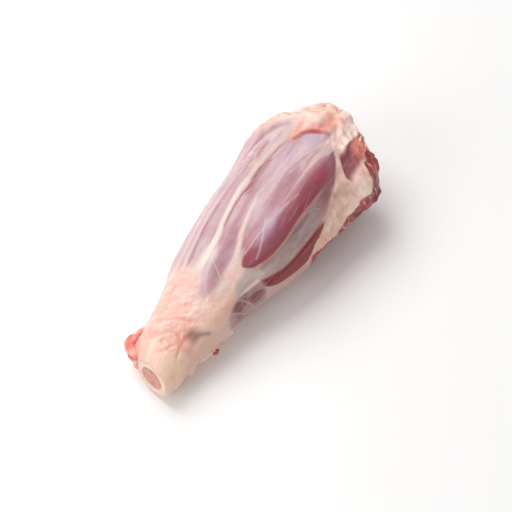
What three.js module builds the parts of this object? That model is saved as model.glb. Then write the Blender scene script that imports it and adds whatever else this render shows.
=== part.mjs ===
// Raw lamb shank, lying on its flattest side with the narrow knuckle towards -X and the thick
// cut end towards +X. Millimetres, +Z up, origin under the middle of the whole on the rest plane.
//
// Every surface is a stack of rings. A ring is found from t, the distance along the bone from the
// sawn knuckle, and from an angle round the bone: 0 is the top, 90 is the -Y side, -90 is the
// +Y side and 180 is the underside.

import * as THREE from 'three';
import { LoftGeometry } from 'three/addons/geometries/LoftGeometry.js';
import { mergeVertices } from 'three/addons/utils/BufferGeometryUtils.js';

// ---- driving dimensions, mm ----

const BONE_LENGTH = 186;
const ORIGIN_FROM_SAW = 98.6;
const FIT_GAP = 0.3;

const ANKLE = { left: 17.1, right: 15.4, top: 15.6, under: 15.6 };
const CALF = { left: 32.2, right: 39.0, top: 30.4, under: 28.0 };
const FIRST_RISE = { left: 7.1, right: 7.8, top: 6.2, under: 4.8 };
const SAWN_END_TAPER = 2.0;
const SHOULDER = { left: 9.5, right: 4.4 };
const REST_FLAT_DEPTH = 1.2;
const ANKLE_ARCH = 2.0;
const MIDDLE = { atSaw: 4.3, drift: 1.5, bow: 2.0, kneeDrift: 2.0, knuckleTurn: 2.6, turnEnd: 28 };
const CLOSING = {
  right: { start: 168, reach: 34 },
  left: { start: 160, reach: 56 },
  top: { start: 178, reach: 36, share: 0.7 },
  under: { start: 166, reach: 34, share: 0.4 },
};
const SECTION_FULLNESS = 2.25;

const SAW_TURN = 0.22;
const SAW_TILT = { up: 0.34, side: 0.94, end: 40 };
const CUT_LEAN = 0.36;
const CUT_BEND = 5;
const CUT_HALF_HEIGHT = 26;
const CREST = { angle: -8, spread: 38, height: 4.0 };
const NOTCH = { angle: 48, spread: 24, depth: 6.0 };

const BONE_RADIUS = { knuckle: 11.5, shaft: 8.0, knee: 15.0 };
const BONE_WALL = { knuckle: 3.8, shaft: 3.2, knee: 4.6 };
const BONE_CORNERS = { share: 0.06, count: 3, angle: 30 };
const BONE_LIFT = 1.0;
const COLLAR_BACK = 2.5;
const COLLAR_WALL = 1.0;
const KNEE_BACK = 1.0;

const SIDES_OF_MEAT = 48;
const SIDES_OF_BONE = 24;
const SKIN_STEP = 4.6;

// ---- small helpers ----

const radians = THREE.MathUtils.degToRad;

/** 0 below low, 1 above high, and a smooth rise between them. */
const ramp = (x, low, high) => THREE.MathUtils.smoothstep(x, low, high);

/** A bell of height 1 at the centre. */
const bump = (x, centre, spread) => Math.exp(-(((x - centre) / spread) ** 2));

/** A quarter ellipse that starts at 1 and closes in over the reach. */
function closing(x, start, reach) {
  const past = Math.max(0, (x - start) / reach);
  return Math.sqrt(Math.max(0.02, 1 - past * past));
}

/** An angle in degrees, brought between -180 and 180. */
const turned = (angle) => THREE.MathUtils.euclideanModulo(angle + 180, 360) - 180;

// ---- the section of the whole, without its muscles ----

function halfLeft(t) {
  const taper = SAWN_END_TAPER * (ramp(t, 0, 12) - 1);
  const first = FIRST_RISE.left;
  const swell = first * ramp(t, 13, 71) + (CALF.left - ANKLE.left - first) * ramp(t, 38, 119);
  return ANKLE.left + taper + swell + SHOULDER.left * bump(t, 166, 27);
}

function halfRight(t) {
  const taper = SAWN_END_TAPER * (ramp(t, 0, 12) - 1);
  const first = FIRST_RISE.right;
  const swell = first * ramp(t, 10, 57) + (CALF.right - ANKLE.right - first) * ramp(t, 43, 128);
  return ANKLE.right + taper + swell + SHOULDER.right * bump(t, 173, 28);
}

function halfTop(t) {
  const taper = SAWN_END_TAPER * 0.8 * (ramp(t, 0, 12) - 1);
  const first = FIRST_RISE.top;
  const swell = first * ramp(t, 11, 66) + (CALF.top - ANKLE.top - first) * ramp(t, 48, 124);
  return ANKLE.top + taper + swell;
}

function halfUnder(t) {
  const taper = SAWN_END_TAPER * 0.6 * (ramp(t, 0, 12) - 1);
  const first = FIRST_RISE.under;
  const swell = first * ramp(t, 10, 57) + (CALF.under - ANKLE.under - first) * ramp(t, 43, 114);
  return ANKLE.under + taper + swell;
}

/** The middle of the section in y: almost straight, a little bowed, the knuckle turned to -Y. */
function middleY(t) {
  const knuckle = MIDDLE.knuckleTurn * (1 - ramp(t, 0, MIDDLE.turnEnd));
  const drift = MIDDLE.drift * ramp(t, 0, 85) + MIDDLE.kneeDrift * ramp(t, 114, 180);
  return MIDDLE.atSaw - knuckle - drift + MIDDLE.bow * bump(t, 66, 28);
}

/** The middle of the section in z: the underside dips below the rest plane and is pressed flat. */
function middleZ(t) {
  return halfUnder(t) + ANKLE_ARCH * bump(t, 43, 21) - REST_FLAT_DEPTH;
}

// ---- muscles, fascia and fat as relief on that section, mm outwards ----

/**
 * A long swelling or groove. Its crest runs straight from one (t, angle) to another, and it
 * fades over the last part of its length.
 */
function strand(t, angle, from, to, spread, rise) {
  const share = (t - from.t) / (to.t - from.t);
  const crest = from.angle + (to.angle - from.angle) * share;
  const fade = ramp(share, -0.05, 0.25) * (1 - ramp(share, 0.75, 1.05));
  return rise * fade * bump(turned(angle - crest), 0, spread);
}

/** A rounded lump or hollow at one place. */
function lump(t, angle, at, length, spread, rise) {
  return rise * bump(t, at.t, length) * bump(turned(angle - at.angle), 0, spread);
}

const MUSCLES = [
  { from: { t: 70, angle: 37 }, to: { t: 164, angle: 30 }, spread: 17, rise: 4.2 },
  { from: { t: 84, angle: 12 }, to: { t: 172, angle: 4 }, spread: 13, rise: 1.6 },
  { from: { t: 46, angle: 12 }, to: { t: 124, angle: -22 }, spread: 12, rise: 1.6 },
  { from: { t: 66, angle: 76 }, to: { t: 142, angle: 56 }, spread: 9, rise: 1.4 },
  { from: { t: 40, angle: -150 }, to: { t: 170, angle: -140 }, spread: 24, rise: 1.6 },
  { from: { t: 50, angle: -90 }, to: { t: 160, angle: -80 }, spread: 15, rise: 1.5 },
];

const SEAMS = [
  { from: { t: 72, angle: 24 }, to: { t: 160, angle: 16 }, spread: 5, rise: -1.5 },
  { from: { t: 62, angle: 54 }, to: { t: 150, angle: 50 }, spread: 6, rise: -1.6 },
  { from: { t: 60, angle: -8 }, to: { t: 160, angle: -34 }, spread: 5, rise: -1.2 },
  { from: { t: 50, angle: -118 }, to: { t: 170, angle: -108 }, spread: 6, rise: -1.4 },
];

const LUMPS = [
  { at: { t: 171, angle: -10 }, length: 5, spread: 20, rise: 3.0 },
  { at: { t: 162, angle: 70 }, length: 12, spread: 14, rise: 2.6 },
  { at: { t: 162, angle: 47 }, length: 9, spread: 9, rise: -2.4 },
  { at: { t: 166, angle: -48 }, length: 12, spread: 14, rise: 2.2 },
  { at: { t: 20, angle: -38 }, length: 9, spread: 34, rise: 2.0 },
  { at: { t: 9, angle: -82 }, length: 8, spread: 15, rise: 6.5 },
  { at: { t: 36, angle: 100 }, length: 10, spread: 26, rise: 1.6 },
];

/** The trimmed flank, where the knife has taken the covering off: flatter, and set back. */
const FLANK = {
  start: 104, full: 128, topAngle: 98, topSoft: 4, underAngle: 158, underSoft: 8, depth: 2.0,
};

function flank(t, angle) {
  const { topAngle, topSoft, underAngle, underSoft } = FLANK;
  const across = ramp(angle, topAngle - topSoft, topAngle + topSoft);
  const under = 1 - ramp(angle, underAngle - underSoft, underAngle + underSoft);
  return -FLANK.depth * across * under * ramp(t, FLANK.start, FLANK.full);
}

function relief(t, angle) {
  let height = flank(t, angle);
  for (const s of [...MUSCLES, ...SEAMS]) height += strand(t, angle, s.from, s.to, s.spread, s.rise);
  for (const s of LUMPS) height += lump(t, angle, s.at, s.length, s.spread, s.rise);
  return height;
}

// ---- rings ----

/** Where t ends up along x: both ends are slanted planes, the saw's and the knife's. */
function skinX(t, angle) {
  const side = Math.sin(radians(angle));
  const up = Math.cos(radians(angle));
  const saw = SAW_TURN * ANKLE.under * 0.9 * (SAW_TILT.up * up - SAW_TILT.side * side);
  const crest = CREST.height * bump(turned(angle - CREST.angle), 0, CREST.spread)
    - NOTCH.depth * bump(turned(angle - NOTCH.angle), 0, NOTCH.spread);
  const knife = CUT_LEAN * CUT_HALF_HEIGHT * up + crest;
  return t + saw * (1 - ramp(t, 0, SAW_TILT.end)) + knife * (t / BONE_LENGTH) ** CUT_BEND;
}

/** A point of the outside, at t along the bone and an angle round it. */
function skinPoint(t, angle) {
  const x = skinX(t, angle);
  const side = Math.sin(radians(angle));
  const up = Math.cos(radians(angle));
  const closed = (end, share = 1) => 1 - share + share * closing(x, end.start, end.reach);
  const wide = side > 0
    ? halfRight(x) * closed(CLOSING.right)
    : halfLeft(x) * closed(CLOSING.left);
  const high = up > 0
    ? halfTop(x) * closed(CLOSING.top, CLOSING.top.share)
    : halfUnder(x) * closed(CLOSING.under, CLOSING.under.share);
  const n = SECTION_FULLNESS;
  const plain = (Math.abs(side / wide) ** n + Math.abs(up / high) ** n) ** (-1 / n);
  const skin = plain + relief(t, angle);
  const collar = boneRadius(t, angle, COLLAR_WALL);
  const reach = THREE.MathUtils.lerp(collar, skin, ramp(t, COLLAR_BACK - 1, COLLAR_BACK + 7));
  const lift = BONE_LIFT * (1 - ramp(t, COLLAR_BACK, COLLAR_BACK + 7));
  const y = middleY(x) - reach * side;
  const z = middleZ(x) + lift + reach * up;
  return new THREE.Vector3(x - ORIGIN_FROM_SAW, y, Math.max(0, z));
}

/** The bone's outer radius plus an allowance: wide knuckle, thin shaft, three-sided knee end. */
function boneRadius(t, angle, allowance) {
  const toShaft = ramp(t, 10, 70);
  const toKnee = ramp(t, 108, 176);
  const round = THREE.MathUtils.lerp(BONE_RADIUS.knuckle, BONE_RADIUS.shaft, toShaft)
    + (BONE_RADIUS.knee - BONE_RADIUS.shaft) * toKnee;
  const { share, count, angle: first } = BONE_CORNERS;
  const corners = 1 + share * toKnee * Math.cos(count * radians(angle - first));
  return round * corners + allowance;
}

function boneWall(t) {
  return THREE.MathUtils.lerp(BONE_WALL.knuckle, BONE_WALL.shaft, ramp(t, 10, 60))
    + (BONE_WALL.knee - BONE_WALL.shaft) * ramp(t, 118, 176);
}

/** A point at some allowance outside the bone, between the same two slanted planes. */
function bonePoint(t, angle, allowance) {
  const side = Math.sin(radians(angle));
  const up = Math.cos(radians(angle));
  const reach = boneRadius(t, angle, allowance);
  const tilt = SAW_TILT.up * up - SAW_TILT.side * side;
  const saw = SAW_TURN * reach * tilt * (1 - ramp(t, 0, SAW_TILT.end));
  const knife = CUT_LEAN * reach * up * (t / BONE_LENGTH) ** CUT_BEND;
  const x = t + saw + knife;
  const y = middleY(t) - reach * side;
  const z = middleZ(t) + BONE_LIFT + reach * up;
  return new THREE.Vector3(x - ORIGIN_FROM_SAW, y, z);
}

/** One closed ring of points, from a function of the angle. */
function ring(sides, place) {
  return Array.from({ length: sides }, (_, i) => place((360 * i) / sides));
}

/** A closed solid from rings that follow each other, with no seam and no empty triangles. */
function solid(name, rings, colour, roughness, capped) {
  const options = { capStart: capped, capEnd: capped };
  const loft = new LoftGeometry(capped ? rings : [...rings, rings[0]], options);
  const bare = new THREE.BufferGeometry();
  bare.setAttribute('position', loft.getAttribute('position'));
  bare.setIndex(loft.getIndex());
  const geometry = mergeVertices(bare, 1e-4);
  geometry.computeVertexNormals();
  const material = new THREE.MeshStandardMaterial({ color: colour, roughness, metalness: 0 });
  const mesh = new THREE.Mesh(geometry, material);
  mesh.name = name;
  return mesh;
}

// ---- the three pieces ----

const BONE_STATIONS = [
  COLLAR_BACK, 8, 20, 35, 52, 72, 95, 118, 138, 156, 170, BONE_LENGTH - KNEE_BACK,
];

/** Muscle, fascia and fat in one: the outside, the cut face, and the bore that the bone fills. */
function makeMeat() {
  const rings = [];
  const skinSteps = Math.round((BONE_LENGTH - COLLAR_BACK) / SKIN_STEP);
  for (let i = 0; i <= skinSteps; i += 1) {
    const t = COLLAR_BACK + ((BONE_LENGTH - COLLAR_BACK) * i) / skinSteps;
    rings.push(ring(SIDES_OF_MEAT, (angle) => skinPoint(t, angle)));
  }
  for (const share of [0.06, 0.2, 0.36, 0.52, 0.68, 0.84, 0.95]) {
    rings.push(ring(SIDES_OF_MEAT, (angle) => cutFacePoint(share, angle)));
  }
  for (const t of [...BONE_STATIONS].reverse()) {
    rings.push(ring(SIDES_OF_MEAT, (angle) => bonePoint(t, angle, FIT_GAP)));
  }
  return solid('meat', rings, 0x9c4a52, 0.35, false);
}

/**
 * The bundles of muscle that end in the cut face: three stacked ovals on the -Y side, a crescent
 * over the bone, and on the +Y side a wedge beside the bone and one large outer bundle.
 */
const BUNDLES = [
  { angle: 58, share: 0.5, turn: 17, depth: 0.26, rise: 3.4 },
  { angle: 96, share: 0.5, turn: 17, depth: 0.3, rise: 3.0 },
  { angle: 136, share: 0.5, turn: 19, depth: 0.28, rise: 3.4 },
  { angle: -10, share: 0.3, turn: 40, depth: 0.16, rise: 2.2 },
  { angle: -118, share: 0.66, turn: 24, depth: 0.2, rise: 2.6 },
  { angle: -80, share: 0.3, turn: 22, depth: 0.2, rise: 3.0 },
];

/** The cut face from rim (0) to bone (1): each bundle of muscle has swollen out of the cut. */
function cutFacePoint(share, angle) {
  const rim = skinPoint(BONE_LENGTH, angle);
  const hole = bonePoint(BONE_LENGTH - KNEE_BACK, angle, FIT_GAP);
  const point = rim.lerp(hole, share);
  for (const b of BUNDLES) {
    point.x += b.rise * bump(turned(angle - b.angle), 0, b.turn) * bump(share, b.share, b.depth);
  }
  return point;
}

/** The shin bone: a tube with a sawn ring at both ends. */
function makeBone() {
  const stations = [0, ...BONE_STATIONS, BONE_LENGTH];
  const outside = stations.map((t) => ring(SIDES_OF_BONE, (a) => bonePoint(t, a, 0)));
  const inside = stations.map((t) => ring(SIDES_OF_BONE, (a) => bonePoint(t, a, -boneWall(t))));
  return solid('bone', [...outside, ...inside.reverse()], 0xe8d3bd, 0.5, false);
}

/** The marrow that fills the bone and shows at both sawn ends. */
function makeMarrow() {
  const stations = [0.3, ...BONE_STATIONS, BONE_LENGTH - 0.3];
  const allowance = (t) => -boneWall(t) - FIT_GAP;
  const rings = stations.map((t) => ring(SIDES_OF_BONE, (a) => bonePoint(t, a, allowance(t))));
  return solid('marrow', rings, 0xd08a80, 0.45, true);
}

const shank = new THREE.Group();
shank.name = 'lamb_shank';
shank.add(makeMeat(), makeBone(), makeMarrow());

export default shank;
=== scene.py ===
# %% [markdown]
# # A raw lamb shank
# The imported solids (meat, bone and marrow) are the fixed frame. Everything here is built around
# them: the meat's skin with its muscles, silverskin and fat, the cut face, the sawn bone, and the
# loose bits at both ends. Lengths are millimetres until the moment a mesh is made.

import bmesh
import bpy
import numpy as np
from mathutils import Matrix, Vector


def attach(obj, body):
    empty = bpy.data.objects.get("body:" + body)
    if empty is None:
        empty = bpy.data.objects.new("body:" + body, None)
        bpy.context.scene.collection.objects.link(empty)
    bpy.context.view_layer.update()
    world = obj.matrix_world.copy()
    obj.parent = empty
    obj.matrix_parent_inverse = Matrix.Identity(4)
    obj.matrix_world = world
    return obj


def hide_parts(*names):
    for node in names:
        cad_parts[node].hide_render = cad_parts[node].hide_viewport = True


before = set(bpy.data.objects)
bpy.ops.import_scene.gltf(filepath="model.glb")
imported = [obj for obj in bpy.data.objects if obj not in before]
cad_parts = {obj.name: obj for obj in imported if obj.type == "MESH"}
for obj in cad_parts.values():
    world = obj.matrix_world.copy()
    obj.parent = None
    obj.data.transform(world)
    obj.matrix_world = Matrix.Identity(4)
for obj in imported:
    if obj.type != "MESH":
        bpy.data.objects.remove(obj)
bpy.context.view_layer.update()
MM = 0.001
BODY = "root"

# %% [markdown]
# ## Camera, light and floor
# The shank lies down here, so the camera looks down on it to see the same side. A long lens far
# away keeps the knuckle, which is nearer, only a little larger. Small lamps would put hard sparks
# on wet meat. So the light is wide panels, mostly overhead, and a white room around.

# %% Camera
CAMERA_AZIMUTH = np.radians(-57.0)
CAMERA_ELEVATION = np.radians(54.4)
CAMERA_DISTANCE = 855 * MM
AIM = Vector((0.0, 0.0, 26.0)) * MM
AIM_RIGHT, AIM_DOWN = 3.2 * MM, 4.7 * MM
SENSOR_WIDTH = 36.0
LENS = 102.6


def camera_axes():
    """Unit vectors from the object to the camera, to the right and upwards in the picture."""
    level = np.cos(CAMERA_ELEVATION)
    back = Vector((np.sin(CAMERA_AZIMUTH) * level, -np.cos(CAMERA_AZIMUTH) * level,
                   np.sin(CAMERA_ELEVATION)))
    right = Vector((0, 0, 1)).cross(back).normalized()
    return back, right, back.cross(right)


def make_camera():
    """A camera on the line of sight, aimed a little right of and below the shank's middle."""
    back, right, up = camera_axes()
    data = bpy.data.cameras.new("camera")
    data.sensor_width, data.lens = SENSOR_WIDTH, LENS
    data.clip_start, data.clip_end = 0.05, 20.0
    camera = bpy.data.objects.new("camera", data)
    bpy.context.scene.collection.objects.link(camera)
    camera.location = AIM + right * AIM_RIGHT - up * AIM_DOWN + back * CAMERA_DISTANCE
    camera.rotation_mode = "QUATERNION"
    camera.rotation_quaternion = back.to_track_quat("Z", "Y")
    bpy.context.scene.camera = camera
    return camera


camera = make_camera()
print("camera at", [round(v, 3) for v in camera.location])


# %% Lights and room
def area_light(name, place, size, power, colour=(1, 1, 1)):
    """A square panel of light at a place, turned to face the shank."""
    data = bpy.data.lights.new(name, "AREA")
    data.shape, data.size, data.energy, data.color = "SQUARE", size, power, colour
    light = bpy.data.objects.new(name, data)
    bpy.context.scene.collection.objects.link(light)
    light.location = place
    light.rotation_mode = "QUATERNION"
    light.rotation_quaternion = Vector(place).to_track_quat("Z", "Y")
    return light


area_light("panel_over", (0.10, 0.55, 0.95), 0.8, 8.0)
area_light("panel_left", (-0.85, 0.35, 0.55), 0.6, 3.0)
area_light("panel_front", (-0.5, -0.8, 0.6), 0.8, 0.8)


# %% White room
world = bpy.data.worlds.new("white_room")
bpy.context.scene.world = world
world.use_nodes = True
room = world.node_tree.nodes["Background"]
ROOM_LIGHT = 0.5
room.inputs["Color"].default_value = (1.0, 0.99, 0.985, 1)
room.inputs["Strength"].default_value = ROOM_LIGHT
bpy.context.scene.view_settings.view_transform = "Standard"
print("lights", [thing.name for thing in bpy.data.lights], "and a room of strength", ROOM_LIGHT)

# %% [markdown]
# ## Small tools for materials
# The materials are all a Principled shader with a few nodes in front of it. Each node could be
# made, set and linked in lines of its own. These helpers do it in one call, so that a material
# reads like a sum.


# %% Materials and their nodes
def new_material(name):
    """A material with only a Principled shader, its tree and the shader."""
    material = bpy.data.materials.new(name)
    material.use_nodes = True
    tree = material.node_tree
    return material, tree, tree.nodes["Principled BSDF"]


def feed(tree, node, inputs):
    """Sets a node's sockets, by name or number, to values or to other nodes' outputs."""
    for key, value in dict(inputs).items():
        if isinstance(value, bpy.types.NodeSocket):
            tree.links.new(value, node.inputs[key])
        else:
            node.inputs[key].default_value = value


def add_node(tree, kind, settings=(), inputs=()):
    """A node of a kind, with settings, and inputs that are numbers or other nodes' outputs."""
    node = tree.nodes.new(kind)
    for key, value in dict(settings).items():
        setattr(node, key, value)
    feed(tree, node, inputs)
    return node


# %% Fields, places and noise
def field_value(tree, name, output="Color"):
    """A field of the mesh, read from its attribute as a colour or a vector."""
    return add_node(tree, "ShaderNodeAttribute", {"attribute_name": name}).outputs[output]


def object_place(tree):
    """The place on the object, in metres."""
    return add_node(tree, "ShaderNodeTexCoord").outputs["Object"]


def scaled_vector(tree, vector, scale):
    """A vector multiplied in each direction."""
    return add_node(tree, "ShaderNodeVectorMath", {"operation": "MULTIPLY"},
                    {0: vector, 1: scale}).outputs[0]


def noise_value(tree, vector, scale, detail=3.0, rough=0.55):
    """Noise of 0 to 1 at a scale, read at a vector."""
    return add_node(tree, "ShaderNodeTexNoise", {"noise_dimensions": "3D"},
                    {"Vector": vector, "Scale": scale, "Detail": detail,
                     "Roughness": rough}).outputs["Fac"]


def ranged(tree, value, low, high, to_low=0.0, to_high=1.0):
    """A value moved smoothly from one range to another."""
    return add_node(tree, "ShaderNodeMapRange", {"interpolation_type": "SMOOTHSTEP"},
                    {"Value": value, "From Min": low, "From Max": high, "To Min": to_low,
                     "To Max": to_high}).outputs[0]


# %% Sums, mixes and bumps
def reckoned(tree, operation, a, b):
    """The sum or the product of two values."""
    return add_node(tree, "ShaderNodeMath", {"operation": operation}, {0: a, 1: b}).outputs[0]


def times(tree, a, b):
    """The product of two values."""
    return reckoned(tree, "MULTIPLY", a, b)


def plus(tree, a, b):
    """The sum of two values."""
    return reckoned(tree, "ADD", a, b)


def mixed(tree, share, a, b, blend="MIX"):
    """Two colours mixed by a share."""
    return add_node(tree, "ShaderNodeMix", {"data_type": "RGBA", "blend_type": blend},
                    {0: share, 6: a, 7: b}).outputs[2]


def bumped(tree, height, strength, depth):
    """The shading normal of a height of 0 to 1, of so many metres."""
    return add_node(tree, "ShaderNodeBump", {}, {"Strength": strength, "Distance": depth,
                                                 "Height": height}).outputs[0]


# %% Floor
FLOOR_HALF = 3.0
FLOOR_UNDER = 0.2 * MM
FLOOR_WHITE = (0.93, 0.925, 0.92, 1)
FLOOR_ROUGH = 0.6
GLOW_START, GLOW_END, GLOW = 0.35, 1.1, 0.4


def make_floor():
    """A wide pale plane a hair below z = 0, where the shank rests, that stays pale far away."""
    mesh = bpy.data.meshes.new("floor")
    corners = [(-1, -1), (1, -1), (1, 1), (-1, 1)]
    mesh.from_pydata([(x * FLOOR_HALF, y * FLOOR_HALF, -FLOOR_UNDER) for x, y in corners], [],
                     [(0, 1, 2, 3)])
    floor = bpy.data.objects.new("floor", mesh)
    bpy.context.scene.collection.objects.link(floor)
    material, tree, shader = new_material("floor_white")
    away = add_node(tree, "ShaderNodeVectorMath", {"operation": "LENGTH"},
                    {0: object_place(tree)}).outputs["Value"]
    glow = ranged(tree, away, GLOW_START, GLOW_END, 0.0, GLOW)
    feed(tree, shader, {"Base Color": FLOOR_WHITE, "Roughness": FLOOR_ROUGH,
                        "Emission Color": FLOOR_WHITE, "Emission Strength": glow})
    mesh.materials.append(material)
    return floor


make_floor()
print("floor", 2 * FLOOR_HALF, "m wide")

# %% [markdown]
# ## Small tools for shapes
# A leg of meat could be sculpted with brushes. Here its shape is worked out for a whole grid at
# once, so every bump has a size in millimetres and can be moved. These are the few curves and
# noises that everything is made of.


# %% Curves
def ramp(x, low, high):
    """0 below low, 1 above high, and 3u^2 - 2u^3 between."""
    u = np.clip((x - low) / (high - low), 0.0, 1.0)
    return u * u * (3.0 - 2.0 * u)


def fade(x, low, high):
    """One less the ramp: 1 below low, 0 above high."""
    return 1 - ramp(x, low, high)


def bump(x, centre, spread):
    """A bell: e to the minus ((x - centre) / spread) squared."""
    return np.exp(-(((x - centre) / spread) ** 2))


def turned(angle):
    """An angle in degrees, brought between -180 and 180."""
    return (angle + 180.0) % 360.0 - 180.0


def closing(x, start, reach):
    """A quarter ellipse: 1 up to start, then the root of 1 - (past / reach) squared, not 0."""
    past = np.maximum(0.0, (x - start) / reach)
    return np.sqrt(np.maximum(0.02, 1.0 - past * past))


print("a ramp in quarters:", ramp(np.linspace(0, 1, 5), 0, 1))


# %% Paths and grids
def path(t, *places):
    """A smooth curve through a few (t, value) places, by cubic Hermite pieces."""
    knots, values = np.array(places, float).T
    slopes = np.gradient(values, knots)
    i = np.clip(np.searchsorted(knots, t) - 1, 0, len(knots) - 2)
    gap = knots[i + 1] - knots[i]
    u = np.clip((t - knots[i]) / gap, 0.0, 1.0)
    rise = values[i + 1] - values[i]
    bend = (slopes[i] * gap - rise) * (1 - u) - (slopes[i + 1] * gap - rise) * u
    return values[i] + rise * u + u * (1 - u) * bend


def all_round(rows, angles):
    """Two grids: the value of each row, and the angle of each column."""
    return np.meshgrid(rows, angles, indexing="ij")


print("a path half way:", path(5, (0, 0), (10, 8), (20, 9)).round(2))

# %% Noise
NOISE_TABLE = np.random.default_rng(7).random(8192)
# big primes, so that neighbouring cells of the lattice fall on far places of the table
CELL_PRIMES, SEED_STEP = np.array([73856093, 19349663, 83492791]), 1013
OCTAVE_FINER, OCTAVE_SHIFT = 2.03, 11.7
# a turn in space, so that the noise's lattice lies aslant and its cells don't show
TURNED_AXES = np.array([[0.80, 0.60, 0.0], [-0.48, 0.64, 0.60], [0.36, -0.48, 0.80]])


def noise(points, seed=0):
    """Smooth noise from 0 to 1: random numbers on a cubic lattice, blended by 3u^2 - 2u^3."""
    cell = np.floor(points).astype(np.int64)
    share = points - cell
    share = share * share * (3.0 - 2.0 * share)
    total = np.zeros(points.shape[:-1])
    for corner in np.ndindex(2, 2, 2):
        at = cell + np.array(corner)
        key = np.bitwise_xor.reduce(at * CELL_PRIMES, axis=-1) + seed * SEED_STEP
        weight = np.where(np.array(corner) == 1, share, 1.0 - share).prod(-1)
        total += weight * NOISE_TABLE[key % len(NOISE_TABLE)]
    return total


def layered(points, octaves, seed=0):
    """Noise plus finer and fainter noise, scaled back to 0 to 1 around 0.5."""
    total, weight = 0.0, 0.0
    for k in range(octaves):
        points = points @ TURNED_AXES
        finer = points * OCTAVE_FINER ** k + OCTAVE_SHIFT * k
        total = total + noise(finer, seed + k) * 0.5 ** k
        weight += 0.5 ** k
    return total / weight


def threads(points, seed, width):
    """A net of thin lines: where the noise passes through its middle value."""
    return bump(layered(points, 2, seed), 0.5, width)


print("noise from", NOISE_TABLE.min().round(3), "to", NOISE_TABLE.max().round(3))

# %% [markdown]
# ## The outline of the shank
# On the real shank the shin bone runs down the middle, and the calf is wrapped round it. Drawn
# sections joined by a loft would do, but would have to be redrawn for each change. So each point
# of the outside is given by t, the millimetres along the bone from the saw cut, and by an angle
# round the bone: 0 on top, 90 towards -Y, 180 underneath. The four half widths are the same
# functions that the solids were made with.

# %% Sizes of the shank
BONE_LENGTH = 186.0
ORIGIN_FROM_SAW = 98.6
REST_FLAT_DEPTH = 1.2
SECTION_FULLNESS = 2.25
SAW_TURN, SAW_UP, SAW_SIDE, SAW_FADE, KNUCKLE_REACH = 0.22, 0.34, 0.94, 40, 14.04
CUT_LEAN, CUT_HALF_HEIGHT = 0.36, 26.0
CREST, NOTCH = 4.0, 6.0
COLLAR_BACK, COLLAR_WALL, KNEE_BACK = 2.5, 0.4, 1.0
LIP_BACK = 0.15
BONE_LIFT = 1.0
print("bone", BONE_LENGTH, "mm long, saw cut at x", -ORIGIN_FROM_SAW)


# %% Half widths and the middle line
def half_left(t):
    """Half width on the +Y side: ankle, two rises into the calf, and a shoulder of fat."""
    return (17.1 + 2.0 * (ramp(t, 0, 12) - 1) + 7.1 * ramp(t, 13, 71) + 8.0 * ramp(t, 38, 119)
            + 9.5 * bump(t, 166, 27))


def half_right(t):
    """Half width on the -Y side."""
    return (15.4 + 2.0 * (ramp(t, 0, 12) - 1) + 7.8 * ramp(t, 10, 57) + 15.8 * ramp(t, 43, 128)
            + 4.4 * bump(t, 173, 28))


def half_top(t):
    """Height above the bone's middle."""
    return 15.6 + 1.6 * (ramp(t, 0, 12) - 1) + 6.2 * ramp(t, 11, 66) + 8.6 * ramp(t, 48, 124)


def half_under(t):
    """Depth below the bone's middle."""
    return 15.6 + 1.2 * (ramp(t, 0, 12) - 1) + 4.8 * ramp(t, 10, 57) + 7.6 * ramp(t, 43, 114)


def middle_y(t):
    """The bone's middle in y: almost straight, a little bowed, the knuckle turned to -Y."""
    return (4.3 - 2.6 * fade(t, 0, 28) - 1.5 * ramp(t, 0, 85) - 2.0 * ramp(t, 114, 180)
            + 2.0 * bump(t, 66, 28))


def middle_z(t):
    """The bone's middle in z: the underside dips under the floor and is then pressed flat."""
    return half_under(t) + 2.0 * bump(t, 43, 21) - REST_FLAT_DEPTH


print("width at the middle", round(float(half_left(93) + half_right(93)), 1), "mm")


# %% Slanted ends
def side_and_up(angle):
    """How far an angle points to -Y and how far up: its sine and its cosine."""
    return np.sin(np.radians(angle)), np.cos(np.radians(angle))


def between_cuts(t, angle, reach, knife):
    """Where t ends up along x: the saw's slanted plane bends one end, the knife the other."""
    side, up = side_and_up(angle)
    saw = SAW_TURN * reach * (SAW_UP * up - SAW_SIDE * side)
    return t + saw * fade(t, 0, SAW_FADE) + knife * (t / BONE_LENGTH) ** 5


def skin_x(t, angle):
    """The x of the skin's rings, with a crest and a notch in the cut edge."""
    crest = CREST * bump(turned(angle + 8), 0, 38) - NOTCH * bump(turned(angle - 48), 0, 24)
    knife = CUT_LEAN * CUT_HALF_HEIGHT * side_and_up(angle)[1] + crest
    return between_cuts(t, angle, KNUCKLE_REACH, knife)


# %% Outside of the bone
def bone_radius(t, angle, allowance):
    """The bone's radius: wide knuckle, thin shaft, three-sided knee end, plus an allowance."""
    to_knee = ramp(t, 108, 176)
    even = 11.5 - 3.5 * ramp(t, 10, 70) + 7.0 * to_knee
    return even * (1 + 0.06 * to_knee * np.cos(3 * np.radians(angle - 30))) + allowance


def bone_wall(t):
    """Thickness of the bone's wall."""
    return 3.8 - 0.6 * ramp(t, 10, 60) + 1.4 * ramp(t, 118, 176)


def bone_point(t, angle, allowance):
    """A point of the bone's surface, or that much outside it."""
    side, up = side_and_up(angle)
    reach = bone_radius(t, angle, allowance)
    x = between_cuts(t, angle, reach, CUT_LEAN * reach * up)
    return np.stack([x - ORIGIN_FROM_SAW, middle_y(t) - reach * side,
                     middle_z(t) + BONE_LIFT + reach * up], -1)


print("bone across at the saw", round(2 * float(bone_radius(0, 0, 0)), 1), "mm")


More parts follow.
